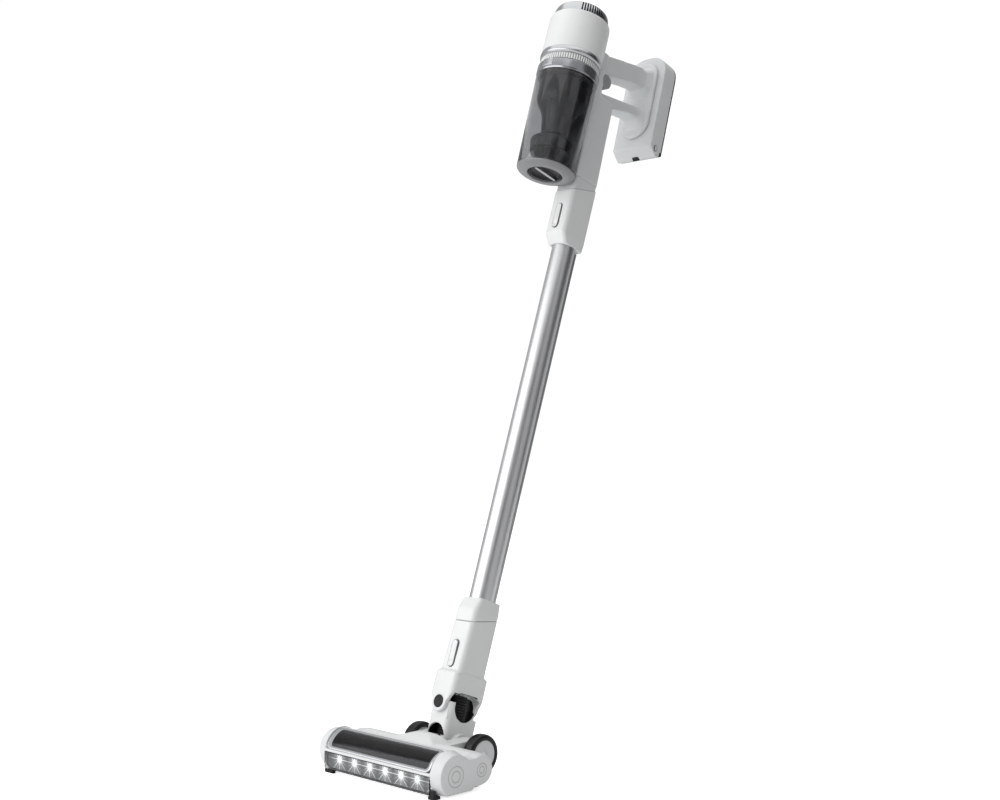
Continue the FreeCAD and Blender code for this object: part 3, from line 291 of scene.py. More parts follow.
def painted_glow_material(name, color):
    """The board behind the light strip, with painted light: each LED's round glow and fine rays are painted onto the
    board as emission.
    """
    material, tree, shader = new_material(name)
    place = tree.nodes.new("ShaderNodeTexCoord")
    split = tree.nodes.new("ShaderNodeSeparateXYZ")
    link(tree, place.outputs["Object"], split.inputs["Vector"])

    pitch = LED_PITCH * MM
    x = maths(tree, "ADD", split.outputs["X"], pitch * LED_COUNT / 2)
    x = maths(tree, "SUBTRACT", maths(tree, "MODULO", x, pitch), pitch / 2)
    z = maths(tree, "SUBTRACT", split.outputs["Z"], LED_Z * MM)
    away = maths(tree, "SQRT", maths(tree, "ADD", maths(tree, "MULTIPLY", x, x), maths(tree, "MULTIPLY", z, z)))
    angle = maths(tree, "ARCTAN2", z, x)

    def rays(half_count, sharpness):
        wave = maths(tree, "ABSOLUTE", maths(tree, "COSINE", maths(tree, "MULTIPLY", angle, half_count)))
        return maths(tree, "POWER", wave, sharpness)

    def fading(reach, power):
        """One at the LED, nothing at reach (mm) from it."""
        share = maths(tree, "MULTIPLY_ADD", away, -1000.0 / reach, 1.0)
        return maths(tree, "POWER", maths(tree, "MAXIMUM", share, 0.0), power)

    # Painted light: the rays, core and halo below are a glow painted on the board as emission.
    fine_rays = maths(tree, "MULTIPLY", fading(17.0, 1.4), rays(8.0, 34.0))
    long_rays = maths(tree, "MULTIPLY", fading(26.0, 1.2), rays(4.0, 90.0))
    core = maths(tree, "MULTIPLY", fading(9.0, 2.2), 3.0)
    halo = maths(tree, "MULTIPLY", fading(22.0, 1.6), 0.45)
    star = maths(tree, "MULTIPLY", maths(tree, "ADD", fine_rays, long_rays), 2.1)
    light = maths(tree, "ADD", maths(tree, "ADD", core, halo), star)
    fine = noise_value(tree, coordinates(tree, (900, 900, 900)), 2.0)
    link(tree, blended(tree, fine, shade(color, 0.85), shade(color, 1.1)), shader.inputs["Base Color"])
    link(tree, ranged(tree, fine, 0.4, 0.6), shader.inputs["Roughness"])
    shader.inputs["Emission Color"].default_value = (1.0, 1.0, 1.0, 1.0)
    link(tree, light, shader.inputs["Emission Strength"])
    return material


def ringed(name, color, circles):
    """White shell with fine turned rings, sunk by the bump and darkened in colour as painted shade; circles are (y,
    z, radius) in mm on the end faces.
    """
    material = surface(name, color, 0.32, vary=0.012, coat=0.1)
    tree = material.node_tree
    shader = tree.nodes["Principled BSDF"]
    place = tree.nodes.new("ShaderNodeTexCoord")
    split = tree.nodes.new("ShaderNodeSeparateXYZ")
    link(tree, place.outputs["Object"], split.inputs["Vector"])
    on_face = maths(tree, "GREATER_THAN", maths(tree, "ABSOLUTE", split.outputs["X"]), END_FACE_X * MM)
    lines = None
    for y0, z0, radius in circles:
        y = maths(tree, "SUBTRACT", split.outputs["Y"], (y0 - CENTRE_Y) * MM)
        z = maths(tree, "SUBTRACT", split.outputs["Z"], z0 * MM)
        away = maths(tree, "SQRT", maths(tree, "ADD", maths(tree, "MULTIPLY", y, y), maths(tree, "MULTIPLY", z, z)))
        off = maths(tree, "ABSOLUTE", maths(tree, "SUBTRACT", away, radius * MM))
        line = maths(tree, "MAXIMUM", maths(tree, "MULTIPLY_ADD", off, -1000.0 / 1.2, 1.0), 0.0)
        lines = line if lines is None else maths(tree, "MAXIMUM", lines, line)
    lines = maths(tree, "MULTIPLY", lines, on_face)
    # The rings are darkened in colour: painted shade in the grooves.
    ramp = tree.nodes.new("ShaderNodeValToRGB")
    ramp.color_ramp.elements[0].color = (*color, 1)
    ramp.color_ramp.elements[1].color = (*shade(color, 0.62), 1)
    link(tree, lines, ramp.inputs["Fac"])
    link(tree, ramp.outputs["Color"], shader.inputs["Base Color"])
    bumped(tree, shader, lines, 0.7, -0.0005)
    return material


def lit(name, strength):
    """A lit lens: nearly white, with a fine grain."""
    material, tree, shader = new_material(name)
    fine = noise_value(tree, coordinates(tree, (1500, 1500, 1500)), 2.0)
    link(tree, blended(tree, fine, (0.9, 0.9, 0.85), (1.0, 1.0, 1.0)), shader.inputs["Base Color"])
    shader.inputs["Emission Color"].default_value = (1, 1, 1, 1)
    shader.inputs["Emission Strength"].default_value = strength
    return material


MATERIALS = {
    "white": surface("white_shell", (0.70, 0.71, 0.71), 0.32, vary=0.012, coat=0.1),
    "grey": surface("grey_shell", (0.63, 0.645, 0.65), 0.36, vary=0.015),
    "silver": surface("silver_trim", (0.50, 0.51, 0.52), 0.26, grain=(2600,) * 3, vary=0.03, metal=1.0),
    "knurl": surface("knurled_grip", (0.70, 0.71, 0.71), 0.34, vary=0.02),
    "tube": surface("tube_metal", (0.62, 0.63, 0.64), 0.36, grain=(1900, 1900, 9), vary=0.02, metal=1.0,
                    relief=0.000006, tilt=-LEAN),
    "smoked": clear("smoked_clear", (0.48, 0.49, 0.50), 0.015),
    "pane": clear("window_smoked", (0.22, 0.225, 0.23), 0.02, 1.3),
    "strip": clear("clear_strip", (0.62, 0.64, 0.64), 0.06),
    "cyclone": surface("cyclone_grey", (0.085, 0.088, 0.092), 0.30, vary=0.04, metal=1.0),
    "black": surface("black_plastic", (0.008, 0.0085, 0.009), 0.32, vary=0.15, ior=1.33),
    "tyre": surface("tyre_rubber", (0.008, 0.008, 0.0085), 0.34, grain=(1400,) * 3, relief=0.00006, vary=0.2,
                    ior=1.38),
    "rubber": surface("rubber", (0.010, 0.010, 0.011), 0.45, grain=(1400,) * 3, relief=0.00005, vary=0.2, ior=1.35),
    "pile": pile_material("brush_pile", (0.42, 0.44, 0.46)),
    "bristle": pile_material("bristles", (0.02, 0.02, 0.022)),
    "bezel": surface("window_bezel", (0.30, 0.31, 0.32), 0.35, vary=0.02),
    # The groove look is painted shade: it darkens the knurl's sunk grooves and the flanks round the buttons.
    "groove": surface("painted_groove_shade", (0.16, 0.165, 0.17), 0.5, vary=0.05),
    "trigger": surface("trigger_grey", (0.30, 0.31, 0.32), 0.30, vary=0.03, coat=0.2),
    "base": surface("bin_base", (0.20, 0.205, 0.21), 0.22, vary=0.03, coat=0.3),
    "foam": foam("filter_foam", (0.5, 0.51, 0.53)),
    "steel": surface("steel", (0.60, 0.61, 0.63), 0.3, grain=(300, 2500, 2500), vary=0.03, metal=1.0),
    "motor": surface("motor_metal", (0.52, 0.53, 0.55), 0.42, grain=(700,) * 3, vary=0.06, metal=1.0),
    "wire": surface("wire_cover", (0.35, 0.05, 0.04), 0.45, vary=0.06),
    "cell": surface("cell_sleeve", (0.10, 0.22, 0.38), 0.35, grain=(60, 60, 900), vary=0.05),
    # The board's glow round each LED is painted light.
    "board": painted_glow_material("painted_glow_board", (0.20, 0.205, 0.21)),
    "contact": surface("contact", (0.85, 0.62, 0.28), 0.28, vary=0.04, metal=1.0),
    "led": lit("led", 0.9),
    "ringed": ringed("ringed_shell", (0.66, 0.67, 0.675), (
        (BRUSH_Y, TUNNEL_Z + 1, 13.5), (BRUSH_Y, TUNNEL_Z + 1, 7.3), (LOBE_Y, LOBE_Z, 8.7), (LOBE_Y, LOBE_Z, 4.5))),
    "collar": surface("collar_metal", (0.34, 0.35, 0.37), 0.22, grain=(2600,) * 3, vary=0.03, metal=0.9),
}


def add_floor():
    """A pale sheet, shown to the camera brighter than it lights the vacuum."""
    material, tree, shader = new_material("pale_floor")
    link(tree, blended(tree, noise_value(tree, coordinates(tree, (3, 3, 3))), (0.93,) * 3, (0.95,) * 3),
         shader.inputs["Base Color"])
    shader.inputs["Roughness"].default_value = 0.9
    shader.inputs["Emission Color"].default_value = (1, 1, 1, 1)
    sight = tree.nodes.new("ShaderNodeLightPath")
    glow = maths(tree, "MULTIPLY", sight.outputs["Is Camera Ray"], FLOOR_GLOW)
    link(tree, glow, shader.inputs["Emission Strength"])
    stage_sheet("floor", [(-FLOOR_HALF, -FLOOR_HALF, 0), (FLOOR_HALF, -FLOOR_HALF, 0), (FLOOR_HALF, FLOOR_HALF, 0),
                          (-FLOOR_HALF, FLOOR_HALF, 0)], material)


def add_flags():
    """Dark boards for contrast: two beside the upper half, two narrower ones beside the lower half."""
    material, tree, shader = new_material("black_flag")
    link(tree, blended(tree, noise_value(tree, coordinates(tree, (9, 9, 9))), (0.05,) * 3, (0.07,) * 3),
         shader.inputs["Base Color"])
    shader.inputs["Roughness"].default_value = 1.0
    for name, azimuth, distance, width, low, high in (
            ("front_flag", -30.0, 2.6, 1.3, 0.95, 2.4), ("side_flag", 46.0, 1.8, 2.0, 0.85, 2.4),
            ("low_front_flag", -36.0, 2.6, 0.7, 0.0, 0.95), ("low_side_flag", 42.0, 1.8, 0.8, 0.0, 0.85)):
        add_flag(name, azimuth, distance, width, low, high, material)


# ---------------------------------------------------------------- pieces
def finish_piece(name, bm, body, look, replaced=(), place=None, sharp=38.0):
    """A mesh becomes a piece that rides a body and wears a material; place is in mm."""
    bmesh.ops.remove_doubles(bm, verts=bm.verts, dist=1e-6)
    bmesh.ops.recalc_face_normals(bm, faces=bm.faces)
    mesh = bpy.data.meshes.new(name)
    bm.to_mesh(mesh)
    bm.free()
    if place is not None:
        mesh.transform(Matrix.Scale(MM, 4) @ place)
    if mesh.polygons:
        mesh.polygons.foreach_set("use_smooth", [True] * len(mesh.polygons))
    mesh.set_sharp_from_angle(angle=math.radians(sharp))
    mesh.materials.append(MATERIALS[look])
    piece = bpy.data.objects.new(name, mesh)
    bpy.context.scene.collection.objects.link(piece)
    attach(piece, body)
    if replaced:
        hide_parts(*replaced)
    return piece


def eased(points, steps=6):
    """A closed outline of (a, b, setback) corners; each corner becomes a soft curve."""
    outline = []
    count = len(points)
    for i, (a, b, setback) in enumerate(points):
        corner = Vector((a, b))
        before = Vector(points[i - 1][:2]) - corner
        after = Vector(points[(i + 1) % count][:2]) - corner
        if setback <= 0:
            outline.append(corner)
            continue
        start = corner + before.normalized() * min(setback, 0.45 * before.length)
        end = corner + after.normalized() * min(setback, 0.45 * after.length)
        for k in range(steps + 1):
            t = k / steps
            outline.append(start * (1 - t) ** 2 + corner * 2 * t * (1 - t) + end * t ** 2)
    return outline


def turned(bm, outline, segments=144, wobble=None):
    """Revolves a closed (radius, height) outline about Z; wobble(angle, height) adds to the radius."""
    rings = []
    for point in outline:
        radius, height = point[0], point[1]
        if radius < 1e-4:
            rings.append([bm.verts.new((0, 0, height))])
            continue
        ring = []
        for i in range(segments):
            angle = 2 * math.pi * i / segments
            r = radius + (wobble(angle, height) if wobble else 0.0)
            ring.append(bm.verts.new((r * math.sin(angle), r * math.cos(angle), height)))
        rings.append(ring)
    for low, high in zip(rings, rings[1:] + rings[:1]):
        for i in range(segments):
            j = (i + 1) % segments
            face = []
            for vert in (low[i % len(low)], low[j % len(low)], high[j % len(high)], high[i % len(high)]):
                if vert not in face:
                    face.append(vert)
            if len(face) > 2:
                bm.faces.new(face)


def bridged(bm, loops, closed):
    """Quads between each loop and the next; closed joins the last to the first as well."""
    pairs = zip(loops, loops[1:] + loops[:1]) if closed else zip(loops, loops[1:])
    for a, b in pairs:
        for i in range(len(a)):
            j = (i + 1) % len(a)
            bm.faces.new((a[i], a[j], b[j], b[i]))


def lathe(name, points, place, body, look, replaced=(), segments=144, wobble=None, sharp=38.0, second=None):
    """A turned piece: the eased outline revolved about the Z axis of place."""
    bm = bmesh.new()
    turned(bm, eased(points), segments, wobble)
    piece = finish_piece(name, bm, body, look, replaced, place, sharp)
    if second:
        paint(piece, place, second)
    return piece


def paint(piece, place, chosen):
    """Gives some faces a second look: chosen(centre, in mm in the frame at place) names it, or None."""
    to_local = (Matrix.Scale(MM, 4) @ place).inverted()
    slots = {}
    for face in piece.data.polygons:
        look = chosen(to_local @ face.center)
        if look is None:
            continue
        if look not in slots:
            slots[look] = len(piece.data.materials)
            piece.data.materials.append(MATERIALS[look])
        face.material_index = slots[look]


def moulded(name, node, body, look, voxel, rounds, sharp=50.0):
    """The CAD form with the soft edges of a moulding: remeshed finely, then relaxed."""
    source = bmesh.new()
    source.from_mesh(NODES[node].data)
    bmesh.ops.remove_doubles(source, verts=source.verts, dist=1e-6)
    mesh = bpy.data.meshes.new(name + "_form")
    source.to_mesh(mesh)
    source.free()
    form = bpy.data.objects.new(name + "_form", mesh)
    bpy.context.scene.collection.objects.link(form)
    remesh = form.modifiers.new("remesh", "REMESH")
    remesh.mode = "VOXEL"
    remesh.voxel_size = voxel * MM
    relax = form.modifiers.new("relax", "SMOOTH")
    relax.factor = 0.5
    relax.iterations = rounds
    bpy.context.view_layer.update()
    result = form.evaluated_get(bpy.context.evaluated_depsgraph_get()).to_mesh()
    bm = bmesh.new()
    bm.from_mesh(result)
    bpy.data.objects.remove(form)
    return finish_piece(name, bm, body, look, (node,), None, sharp)


def dress(node, look):
    """A CAD node that stays gets a better material."""
    mesh_object = NODES[node]
    mesh_object.data.materials.clear()
    mesh_object.data.materials.append(MATERIALS[look])


# ---------------------------------------------------------------- motor unit
def motor_unit():
    """The white housing over its silver flange and the ribbed locking ring, with the cap on top."""
    lathe("motor_shell", [(48.4, MOTOR_LOW, 0.5), (48.1, CAP_LOW, 7.5), (44.2, CAP_LOW, 0.4), (41.3, 257.0, 0),
                          (44.0, MOTOR_LOW, 0)], BARREL, "handheld", "white", ("motor_housing",))
    lathe("flange", [(41.5, 184.1, 0), (46.8, 184.1, 0.5), (49.4, 187.0, 1.0), (49.3, 190.0, 0.8), (48.5, 194.0, 0.5),
                     (41.5, 194.0, 0)], BARREL, "handheld", "silver", ("flange_ring",))

    # Painted shade: the sunk grooves between the ribs wear the darker groove look.
    def knurl_grooves(centre):
        sunk = math.hypot(centre.x, centre.y) < GRIP_R - GRIP_DEPTH / 2
        return "groove" if 173 < centre.z < 183.6 and sunk else None

    def ribs(angle, height):
        wave = 0.5 + 0.5 * math.cos(GRIP_RIBS * angle)
        return -GRIP_DEPTH * (1 - wave) ** 2 if 173.5 < height < 183.2 else -GRIP_DEPTH

    side = [(GRIP_R, height, 0) for height in (GRIP_LOW, 173.2, 173.8, 182.8, 183.4, GRIP_TOP)]
    lathe("grip_ring", [(41.5, GRIP_LOW, 0), *side, (41.5, GRIP_TOP, 0)], BARREL, "handheld", "knurl",
          ("knurled_ring",), 8 * GRIP_RIBS, ribs, second=knurl_grooves)
    exhaust_cap()


def exhaust_cap():
    """The silver cap: a low dome whose side is cut by upright air slots, all round except in front."""
    low, high = CAP_LOW, CAP_TOP
    slots, step, width, depth = 50, 5.6, 2.2, 4.6
    wall_slope, slot_middle_r, front_steps = 0.12, 43.0, 40
    first = -step * (slots - 1) / 2
    outline = eased([(43.8, low, 0), (43.4, low + 9, 3), (41.2, high - 9, 5), (36.5, high - 5.5, 4),
                     (29, high - 3, 3), (18, high - 0.9, 3), (0, high, 0), (0, low + 0.2, 0)], 4)
    cut_low, cut_high = low + 2.0, high - 7.0
    bm = bmesh.new()
    angles = []
    half = math.degrees(width / 2 / slot_middle_r)
    for i in range(slots):
        middle = first + i * step
        for offset, sunk in ((-half - wall_slope, 0), (-half, 1), (half, 1), (half + wall_slope, 0)):
            angles.append((math.radians(middle + offset), sunk))
    start, end = first + slots * step - step / 2, first + 360 - step / 2
    for k in range(front_steps):
        angles.append((math.radians(start + (end - start) * (k + 0.5) / front_steps), 0))
    side = [(point[0], point[1]) for point in outline if point[0] > 0]
    levels = []
    for a, b in zip(side, side[1:]):
        levels.append(a)
        for cut in (cut_low, cut_low + 0.15, cut_high - 0.15, cut_high):
            if a[1] < cut < b[1]:
                t = (cut - a[1]) / (b[1] - a[1])
                levels.append((a[0] + (b[0] - a[0]) * t, cut))
    levels.append(side[-1])
    levels.sort(key=lambda p: p[1])
    rings = []
    for radius, height in levels:
        ring = []
        for angle, sunk in angles:
            inside = sunk and cut_low + 0.1 < height < cut_high - 0.1
            r = radius - depth if inside else radius
            ring.append(bm.verts.new((r * math.sin(angle), r * math.cos(angle), height)))
        rings.append(ring)
    bridged(bm, rings, False)
    count = len(angles)
    top = bm.verts.new((0, 0, high))
    bottom = bm.verts.new((0, 0, low))
    for i in range(count):
        j = (i + 1) % count
        bm.faces.new((rings[-1][i], rings[-1][j], top))
        bm.faces.new((rings[0][j], rings[0][i], bottom))
    cap = finish_piece("exhaust_dome", bm, "handheld", "silver", ("exhaust_cap",), BARREL, 30.0)

    def slot_floor_shade(centre):
        """Deep in a slot, painted black as painted shade; the slots lean in a little towards the top."""
        limit = 40.0 if centre.z > 272 else 40.9
        return "black" if cut_low < centre.z < cut_high and math.hypot(centre.x, centre.y) < limit else None

    paint(cap, BARREL, slot_floor_shade)


# ---------------------------------------------------------------- dust bin
def dust_bin():
    """The clear bin with its grey base ring, its metal collar and the two-part cyclone inside."""
    lathe("bin_wall", [(45.7, 2.55, 0.3), (48.4, 154.9, 0.5), (46.4, 154.9, 0.3), (43.7, 2.55, 0.3)], BARREL, "bin",
          "smoked", ("bin_shell",))
    lathe("bin_base", [(27.6, 7.0, 0), (27.6, -3.8, 1.0), (29.2, -4.5, 1.0), (37, -3.9, 3), (42.6, -1.7, 2.5),
                       (45.2, 0.8, 1.2), (45.6, 2.45, 0.3), (31, 2.5, 0), (31, 9.5, 0), (0, 9.5, 0), (0, 7.0, 0)],
          BARREL, "bin", "base", ("bin_floor",))
    lathe("collar_band", [(41.5, 155.1, 0), (48.2, 155.1, 0.4), (49.2, 157.4, 1.0), (49.2, 171.0, 1.0),
                          (47.8, 171.9, 0.5), (41.5, 171.9, 0)], BARREL, "bin", "collar", ("bin_collar",))
    lathe("cyclone_body", [(0, 60, 0), (21, 60, 2), (21.5, 66, 5), (26, 95, 12), (39.4, 114, 8), (39.5, 147.8, 0.8),
                           (0, 147.8, 0)], BARREL, "bin", "cyclone", ("cyclone_cone",), 160)
    lathe("cyclone_umbrella", [(12, 14, 0), (14, 14, 1), (14, 40, 4), (32.4, 32, 1.2), (35, 50, 3), (21, 59.8, 3),
                               (12, 59.8, 0)], BARREL, "bin", "cyclone", ("cyclone_skirt",), 160)
    moulded("collar_latch", "bin_latch", "bin_latch", "silver", 0.5, 2)
    knob()


def knob():
    """The black release knob: a shallow dish with a raised grip bar across it."""
    lathe("floor_knob", [(26.6, 6.6, 0.3), (26.6, -0.6, 0.8), (25.0, -1.6, 0.8), (22.5, 1.6, 2.5), (0, 2.2, 0),
                         (0, 6.6, 0)], BARREL, "bin_knob", "black", ("bin_knob",), 128)
    bar_root, bar_top, bar_round = 3.0, -2.8, 0.9
    bm = bmesh.new()
    loops = []
    for y, half in ((-23.5, 1.0), (-22.0, 2.2), (-12, 2.7), (0, 2.9), (12, 2.7), (22.0, 2.2), (23.5, 1.0)):
        section = eased([(half, bar_root, 0), (half, bar_top, bar_round), (-half, bar_top, bar_round),
                         (-half, bar_root, 0)], 3)
        loops.append([bm.verts.new((p.x, y, p.y)) for p in section])
    bridged(bm, loops, False)
    bm.faces.new(loops[0])
    bm.faces.new(loops[-1])
    finish_piece("knob_bar", bm, "bin_knob", "silver", (), BARREL)


# ---------------------------------------------------------------- wheels and roller
def on_axle(side):
    """The wheel's own frame, with Z outward along the axle; side is -1 or 1."""
    turn = Matrix.Rotation(math.radians(90 * side), 4, "Y")
    return FLOOR @ Matrix.Translation((side * WHEEL_X, PIVOT_Y, PIVOT_Z)) @ turn


def wheels():
    half, bore = WHEEL_W / 2, 5.05
    for name, side in (("left", -1), ("right", 1)):
        lathe("tyre_" + name + "_rubber",
              [(HUB_R, -half + 1.5, 0.3), (WHEEL_R - 4, -half, 1.5), (WHEEL_R - 0.6, -half + 2.2, 3), (WHEEL_R, 0, 5),
               (WHEEL_R - 0.6, half - 2.2, 3), (WHEEL_R - 4, half, 1.5), (HUB_R + 0.3, half - 0.4, 0.6),
               (HUB_R, half - 1.5, 0.2)], on_axle(side), "wheel_" + name, "tyre", ("tyre_" + name,), 160)
        lathe("hub_" + name + "_disc",
              [(bore, -half + 2, 0), (HUB_R, -half + 2, 0.3), (HUB_R, half - 1.4, 0.5), (HUB_R - 2, half - 0.5, 0.8),
               (15.5, half - 0.9, 1.0), (9, half - 0.6, 1.2), (bore, half - 1.4, 0.4)],
              on_axle(side), "wheel_" + name, "grey", ("hub_" + name,), 128)


def roller():
    """The brush: soft pile with a helical groove, as made for hard floors."""
    length, radius, core_r = 98.0, 23.0, 12.0
    twist, groove_depth, tuft_height, end_fall = 0.03, 1.5, 0.35, 1.2
    rows, segments = 150, 120
    bm = bmesh.new()
    rings = []
    for k in range(rows + 1):
        x = -length + 2 * length * k / rows
        ring = []
        for i in range(segments):
            angle = 2 * math.pi * i / segments
            phase = math.cos(2 * (angle - math.radians(132 - twist * x)))
            groove = groove_depth * max(0.0, phase - 0.96) / 0.04
            tuft = tuft_height * noise.noise(Vector((x * 0.5, 6 * math.cos(angle), 6 * math.sin(angle))))
            end_drop = end_fall * max(0.0, abs(x) - length + 3) / 3
            r = min(radius - 0.05, radius - 0.5 - groove + tuft - end_drop)
            ring.append(bm.verts.new((x, r * math.cos(angle), r * math.sin(angle))))
        rings.append(ring)
    for x in (length, -length):
        ring = []
        for i in range(segments):
            angle = 2 * math.pi * i / segments
            ring.append(bm.verts.new((x, core_r * math.cos(angle), core_r * math.sin(angle))))
        rings.append(ring)
    bridged(bm, rings, True)
    place = FLOOR @ Matrix.Translation((0, BRUSH_Y, BRUSH_Z))
    pile = finish_piece("roller_pile", bm, "brush", "pile", ("brush_pile",), place, 80.0)

    # Dark bristle rows, turned so that they lie where the visible roller is in shade: partly bristles, partly painted
    # shade.
    def bristle_rows_and_shade(centre):
        turn = math.degrees(math.atan2(centre.z, centre.y)) + twist * centre.x
        return "bristle" if (turn - 72) % 180 < 60 else None

    paint(pile, place, bristle_rows_and_shade)


# ---------------------------------------------------------------- window over the roller
def rounded_loop(x0, x1, s0, s1, corner, per_side=14, per_corner=6):
    """A rounded rectangle as a loop of points, dense enough to follow the tunnel."""
    corners = [(x1 - corner, s1 - corner, 0), (x0 + corner, s1 - corner, 90), (x0 + corner, s0 + corner, 180),
               (x1 - corner, s0 + corner, 270)]
    arcs = []
    for cx, cs, start in corners:
        arc = []
        for k in range(per_corner + 1):
            angle = math.radians(start + 90 * k / per_corner)
            arc.append(Vector((cx + corner * math.cos(angle), cs + corner * math.sin(angle))))
        arcs.append(arc)
    loop = []
    for i, arc in enumerate(arcs):
        following = arcs[(i + 1) % 4][0]
        loop += arc
        for k in range(1, per_side):
            loop.append(arc[-1].lerp(following, k / per_side))
    return loop


def wrapped(x, angle, lift):
    """A point on the tunnel: angle from the rear round to the front, lift above its surface."""
    r = TUNNEL_R + lift
    return Vector((x, BRUSH_Y + r * math.cos(math.radians(angle)), TUNNEL_Z + r * math.sin(math.radians(angle))))


def window():
    """The silver rim with its grey bezel, and the smoked pane inside it, both wrapped round the tunnel."""
    per_degree = math.radians(1) * TUNNEL_R
    s0, s1 = WINDOW_REAR * per_degree, WINDOW_FRONT * per_degree
    left_share, side_share = 1.9, 0.75

    def inset_loop(inset, corner):
        """The window's outline moved in: wider bezel at the left end, narrower along front and rear."""
        return rounded_loop(-WINDOW_X + inset * left_share, WINDOW_X - inset, s0 + inset * side_share,
                            s1 - inset * side_share, corner)

    section = [(0.0, -2.2), (0.0, 0.3), (0.6, 0.75), (2.2, 0.8), (4.6, 0.55), (5.4, 0.1), (5.4, -2.2)]
    bm = bmesh.new()
    loops = []
    for inset, lift in section:
        loop = inset_loop(inset, 8.0 - inset * 0.6)
        loops.append([bm.verts.new(wrapped(p.x, p.y / per_degree, lift)) for p in loop])
    bridged(bm, loops, True)
    rim = finish_piece("window_rim", bm, "head", "silver", ("window_frame",), FLOOR)
    rim.data.materials.append(MATERIALS["bezel"])
    silver_bands = 3
    for face in rim.data.polygons[silver_bands * len(loops[0]):]:
        face.material_index = 1
    bm = bmesh.new()
    outer = inset_loop(5.5, 4.6)
    middle, seam_x, steps = (s0 + s1) / 2, 90.0, 8
    layers = []
    for lift, inward in ((-0.1, True), (-1.8, False)):
        for k in range(steps + 1):
            share = k / steps if inward else 1 - k / steps
            loop = []
            for p in outer:
                x = p.x + (max(-seam_x, min(seam_x, p.x)) - p.x) * share
                s = p.y + (middle - p.y) * share
                loop.append(bm.verts.new(wrapped(x, s / per_degree, lift)))
            layers.append(loop)
    bridged(bm, layers[:steps + 1], False)
    bridged(bm, layers[steps + 1:], False)
    bridged(bm, [layers[-1], layers[0]], False)
    bmesh.ops.remove_doubles(bm, verts=bm.verts, dist=1e-3)
    finish_piece("window_pane", bm, "head", "pane", ("window_lens",), FLOOR, 50.0)


def light_strip():
    """The clear strip, with eased front edges, and the board with its painted glow and the LEDs behind it."""
    bm = bmesh.new()
    end_gap = 0.2
    section = [(0.9, LED_LOW_Z), (0.25, LED_LOW_Z + 0.5), (0.0, LED_LOW_Z + 1.6), (0.0, BAND_Z - 1.6),
               (0.25, BAND_Z - 0.5), (0.9, BAND_Z), (STRIP_BACK, BAND_Z), (STRIP_BACK, LED_LOW_Z)]
    loops = []
    for k in range(STRIP_SLICES + 1):
        x = -COVER_X + end_gap + 2 * (COVER_X - end_gap) * k / STRIP_SLICES
        loops.append([bm.verts.new((x, LED_FRONT_Y + y, z)) for y, z in section])
    bridged(bm, loops, False)
    bm.faces.new(loops[0])
    bm.faces.new(loops[-1])
    finish_piece("light_strip", bm, "head", "strip", ("led_lens",), FLOOR, 25.0)
    dress("led_board", "board")
    dress("leds", "led")


# ---------------------------------------------------------------- neck hose and pin caps
def hose():
    """The ribbed hose in the neck: round ribs at an even pitch."""
    rings, low, pitch, outer = 17, 5.0, 4.0, 16.6
    rib = ((0.02, 1.7), (0.14, 0.9), (0.3, 0.1), (0.5, 0.0), (0.7, 0.1), (0.86, 0.9), (0.98, 1.7))
    points = [(outer - 3, low)]
    for i in range(rings):
        z = low + i * pitch
        for share, drop in rib:
            points.append((outer - drop, z + share * pitch))
    points.append((outer - 3, low + rings * pitch))
    bm = bmesh.new()
    turned(bm, points, 96)
    place = STICK @ Matrix.Translation((0, HOSE_Y, 0))
    finish_piece("ribbed_hose", bm, "neck", "rubber", ("neck_hose",), place, 60.0)


def pin_caps():
    """The two round rubber covers over the swing pins."""
    bm = bmesh.new()
    for y, turn in ((PIN_FRONT_Y, 90), (PIN_REAR_Y, -90)):
        start = len(bm.verts)
        side = Matrix.Translation((0, y, PIN_Z)) @ Matrix.Rotation(math.radians(turn), 4, "X")
        turned(bm, eased([(0, -1.9, 0), (8.9, -1.9, 0.1), (8.9, 0.2, 0.5), (7.6, 0.75, 0.8), (6.2, 0.35, 0.8),
                          (0, 0.15, 0)]), 64)
        bm.verts.ensure_lookup_table()
        bmesh.ops.transform(bm, matrix=side, verts=bm.verts[start:])
    finish_piece("pin_covers", bm, "adapter", "rubber", ("swing_pin_caps",), STICK)


# ---------------------------------------------------------------- tube and mouldings
def tube():
    """The metal tube, and the narrow channel for the wires that runs behind it."""
    ease = 0.2
    lathe("tube_skin", [(TUBE_R, TUBE_LOW, ease), (TUBE_R, TUBE_TOP, ease), (TUBE_BORE_R, TUBE_TOP, ease),
                        (TUBE_BORE_R, TUBE_LOW, ease)], STICK, "wand", "tube", ("wand_tube",), 160)
    moulded("channel_strip", "wire_channel", "wand", "tube", 0.8, 2)


def fork_hollow_shade(centre):
    """The space between the fork's ears is painted black inside: painted shade."""
    return "black" if abs(centre.x) < 21.6 and -29.8 < centre.y < 18 and centre.z < 76.4 else None


def neck_hollow_shade(centre):
    """The space round the hose, inside the lower neck, is painted black too: painted shade."""
    return "black" if abs(centre.x) < 17.6 and -26.2 < centre.y < 21.9 and centre.z > 14 else None


def key_outline_shade(low, high):
    """The flank of an oval button: everything near its outline, darkened as a painted shadow line."""
    def chosen(centre):
        beyond = max(0.0, low + BUTTON_R - centre.z, centre.z - high + BUTTON_R)
        return "groove" if math.hypot(centre.x, beyond) > BUTTON_R - BUTTON_EDGE else None
    return chosen


def release_outline_shade(centre):
    """The flank of the battery's oval release button, darkened as a painted shadow line."""
    beyond = max(0.0, RELEASE_LOW - centre.z, centre.z - RELEASE_HIGH)
    return "groove" if math.hypot(centre.y - RELEASE_Y, beyond) > RELEASE_R else None


def plate_corner(centre):
    """The pack's black rear plate wraps round its lower edge."""
    return "black" if centre.y > 128.5 and centre.z < 123.5 else None


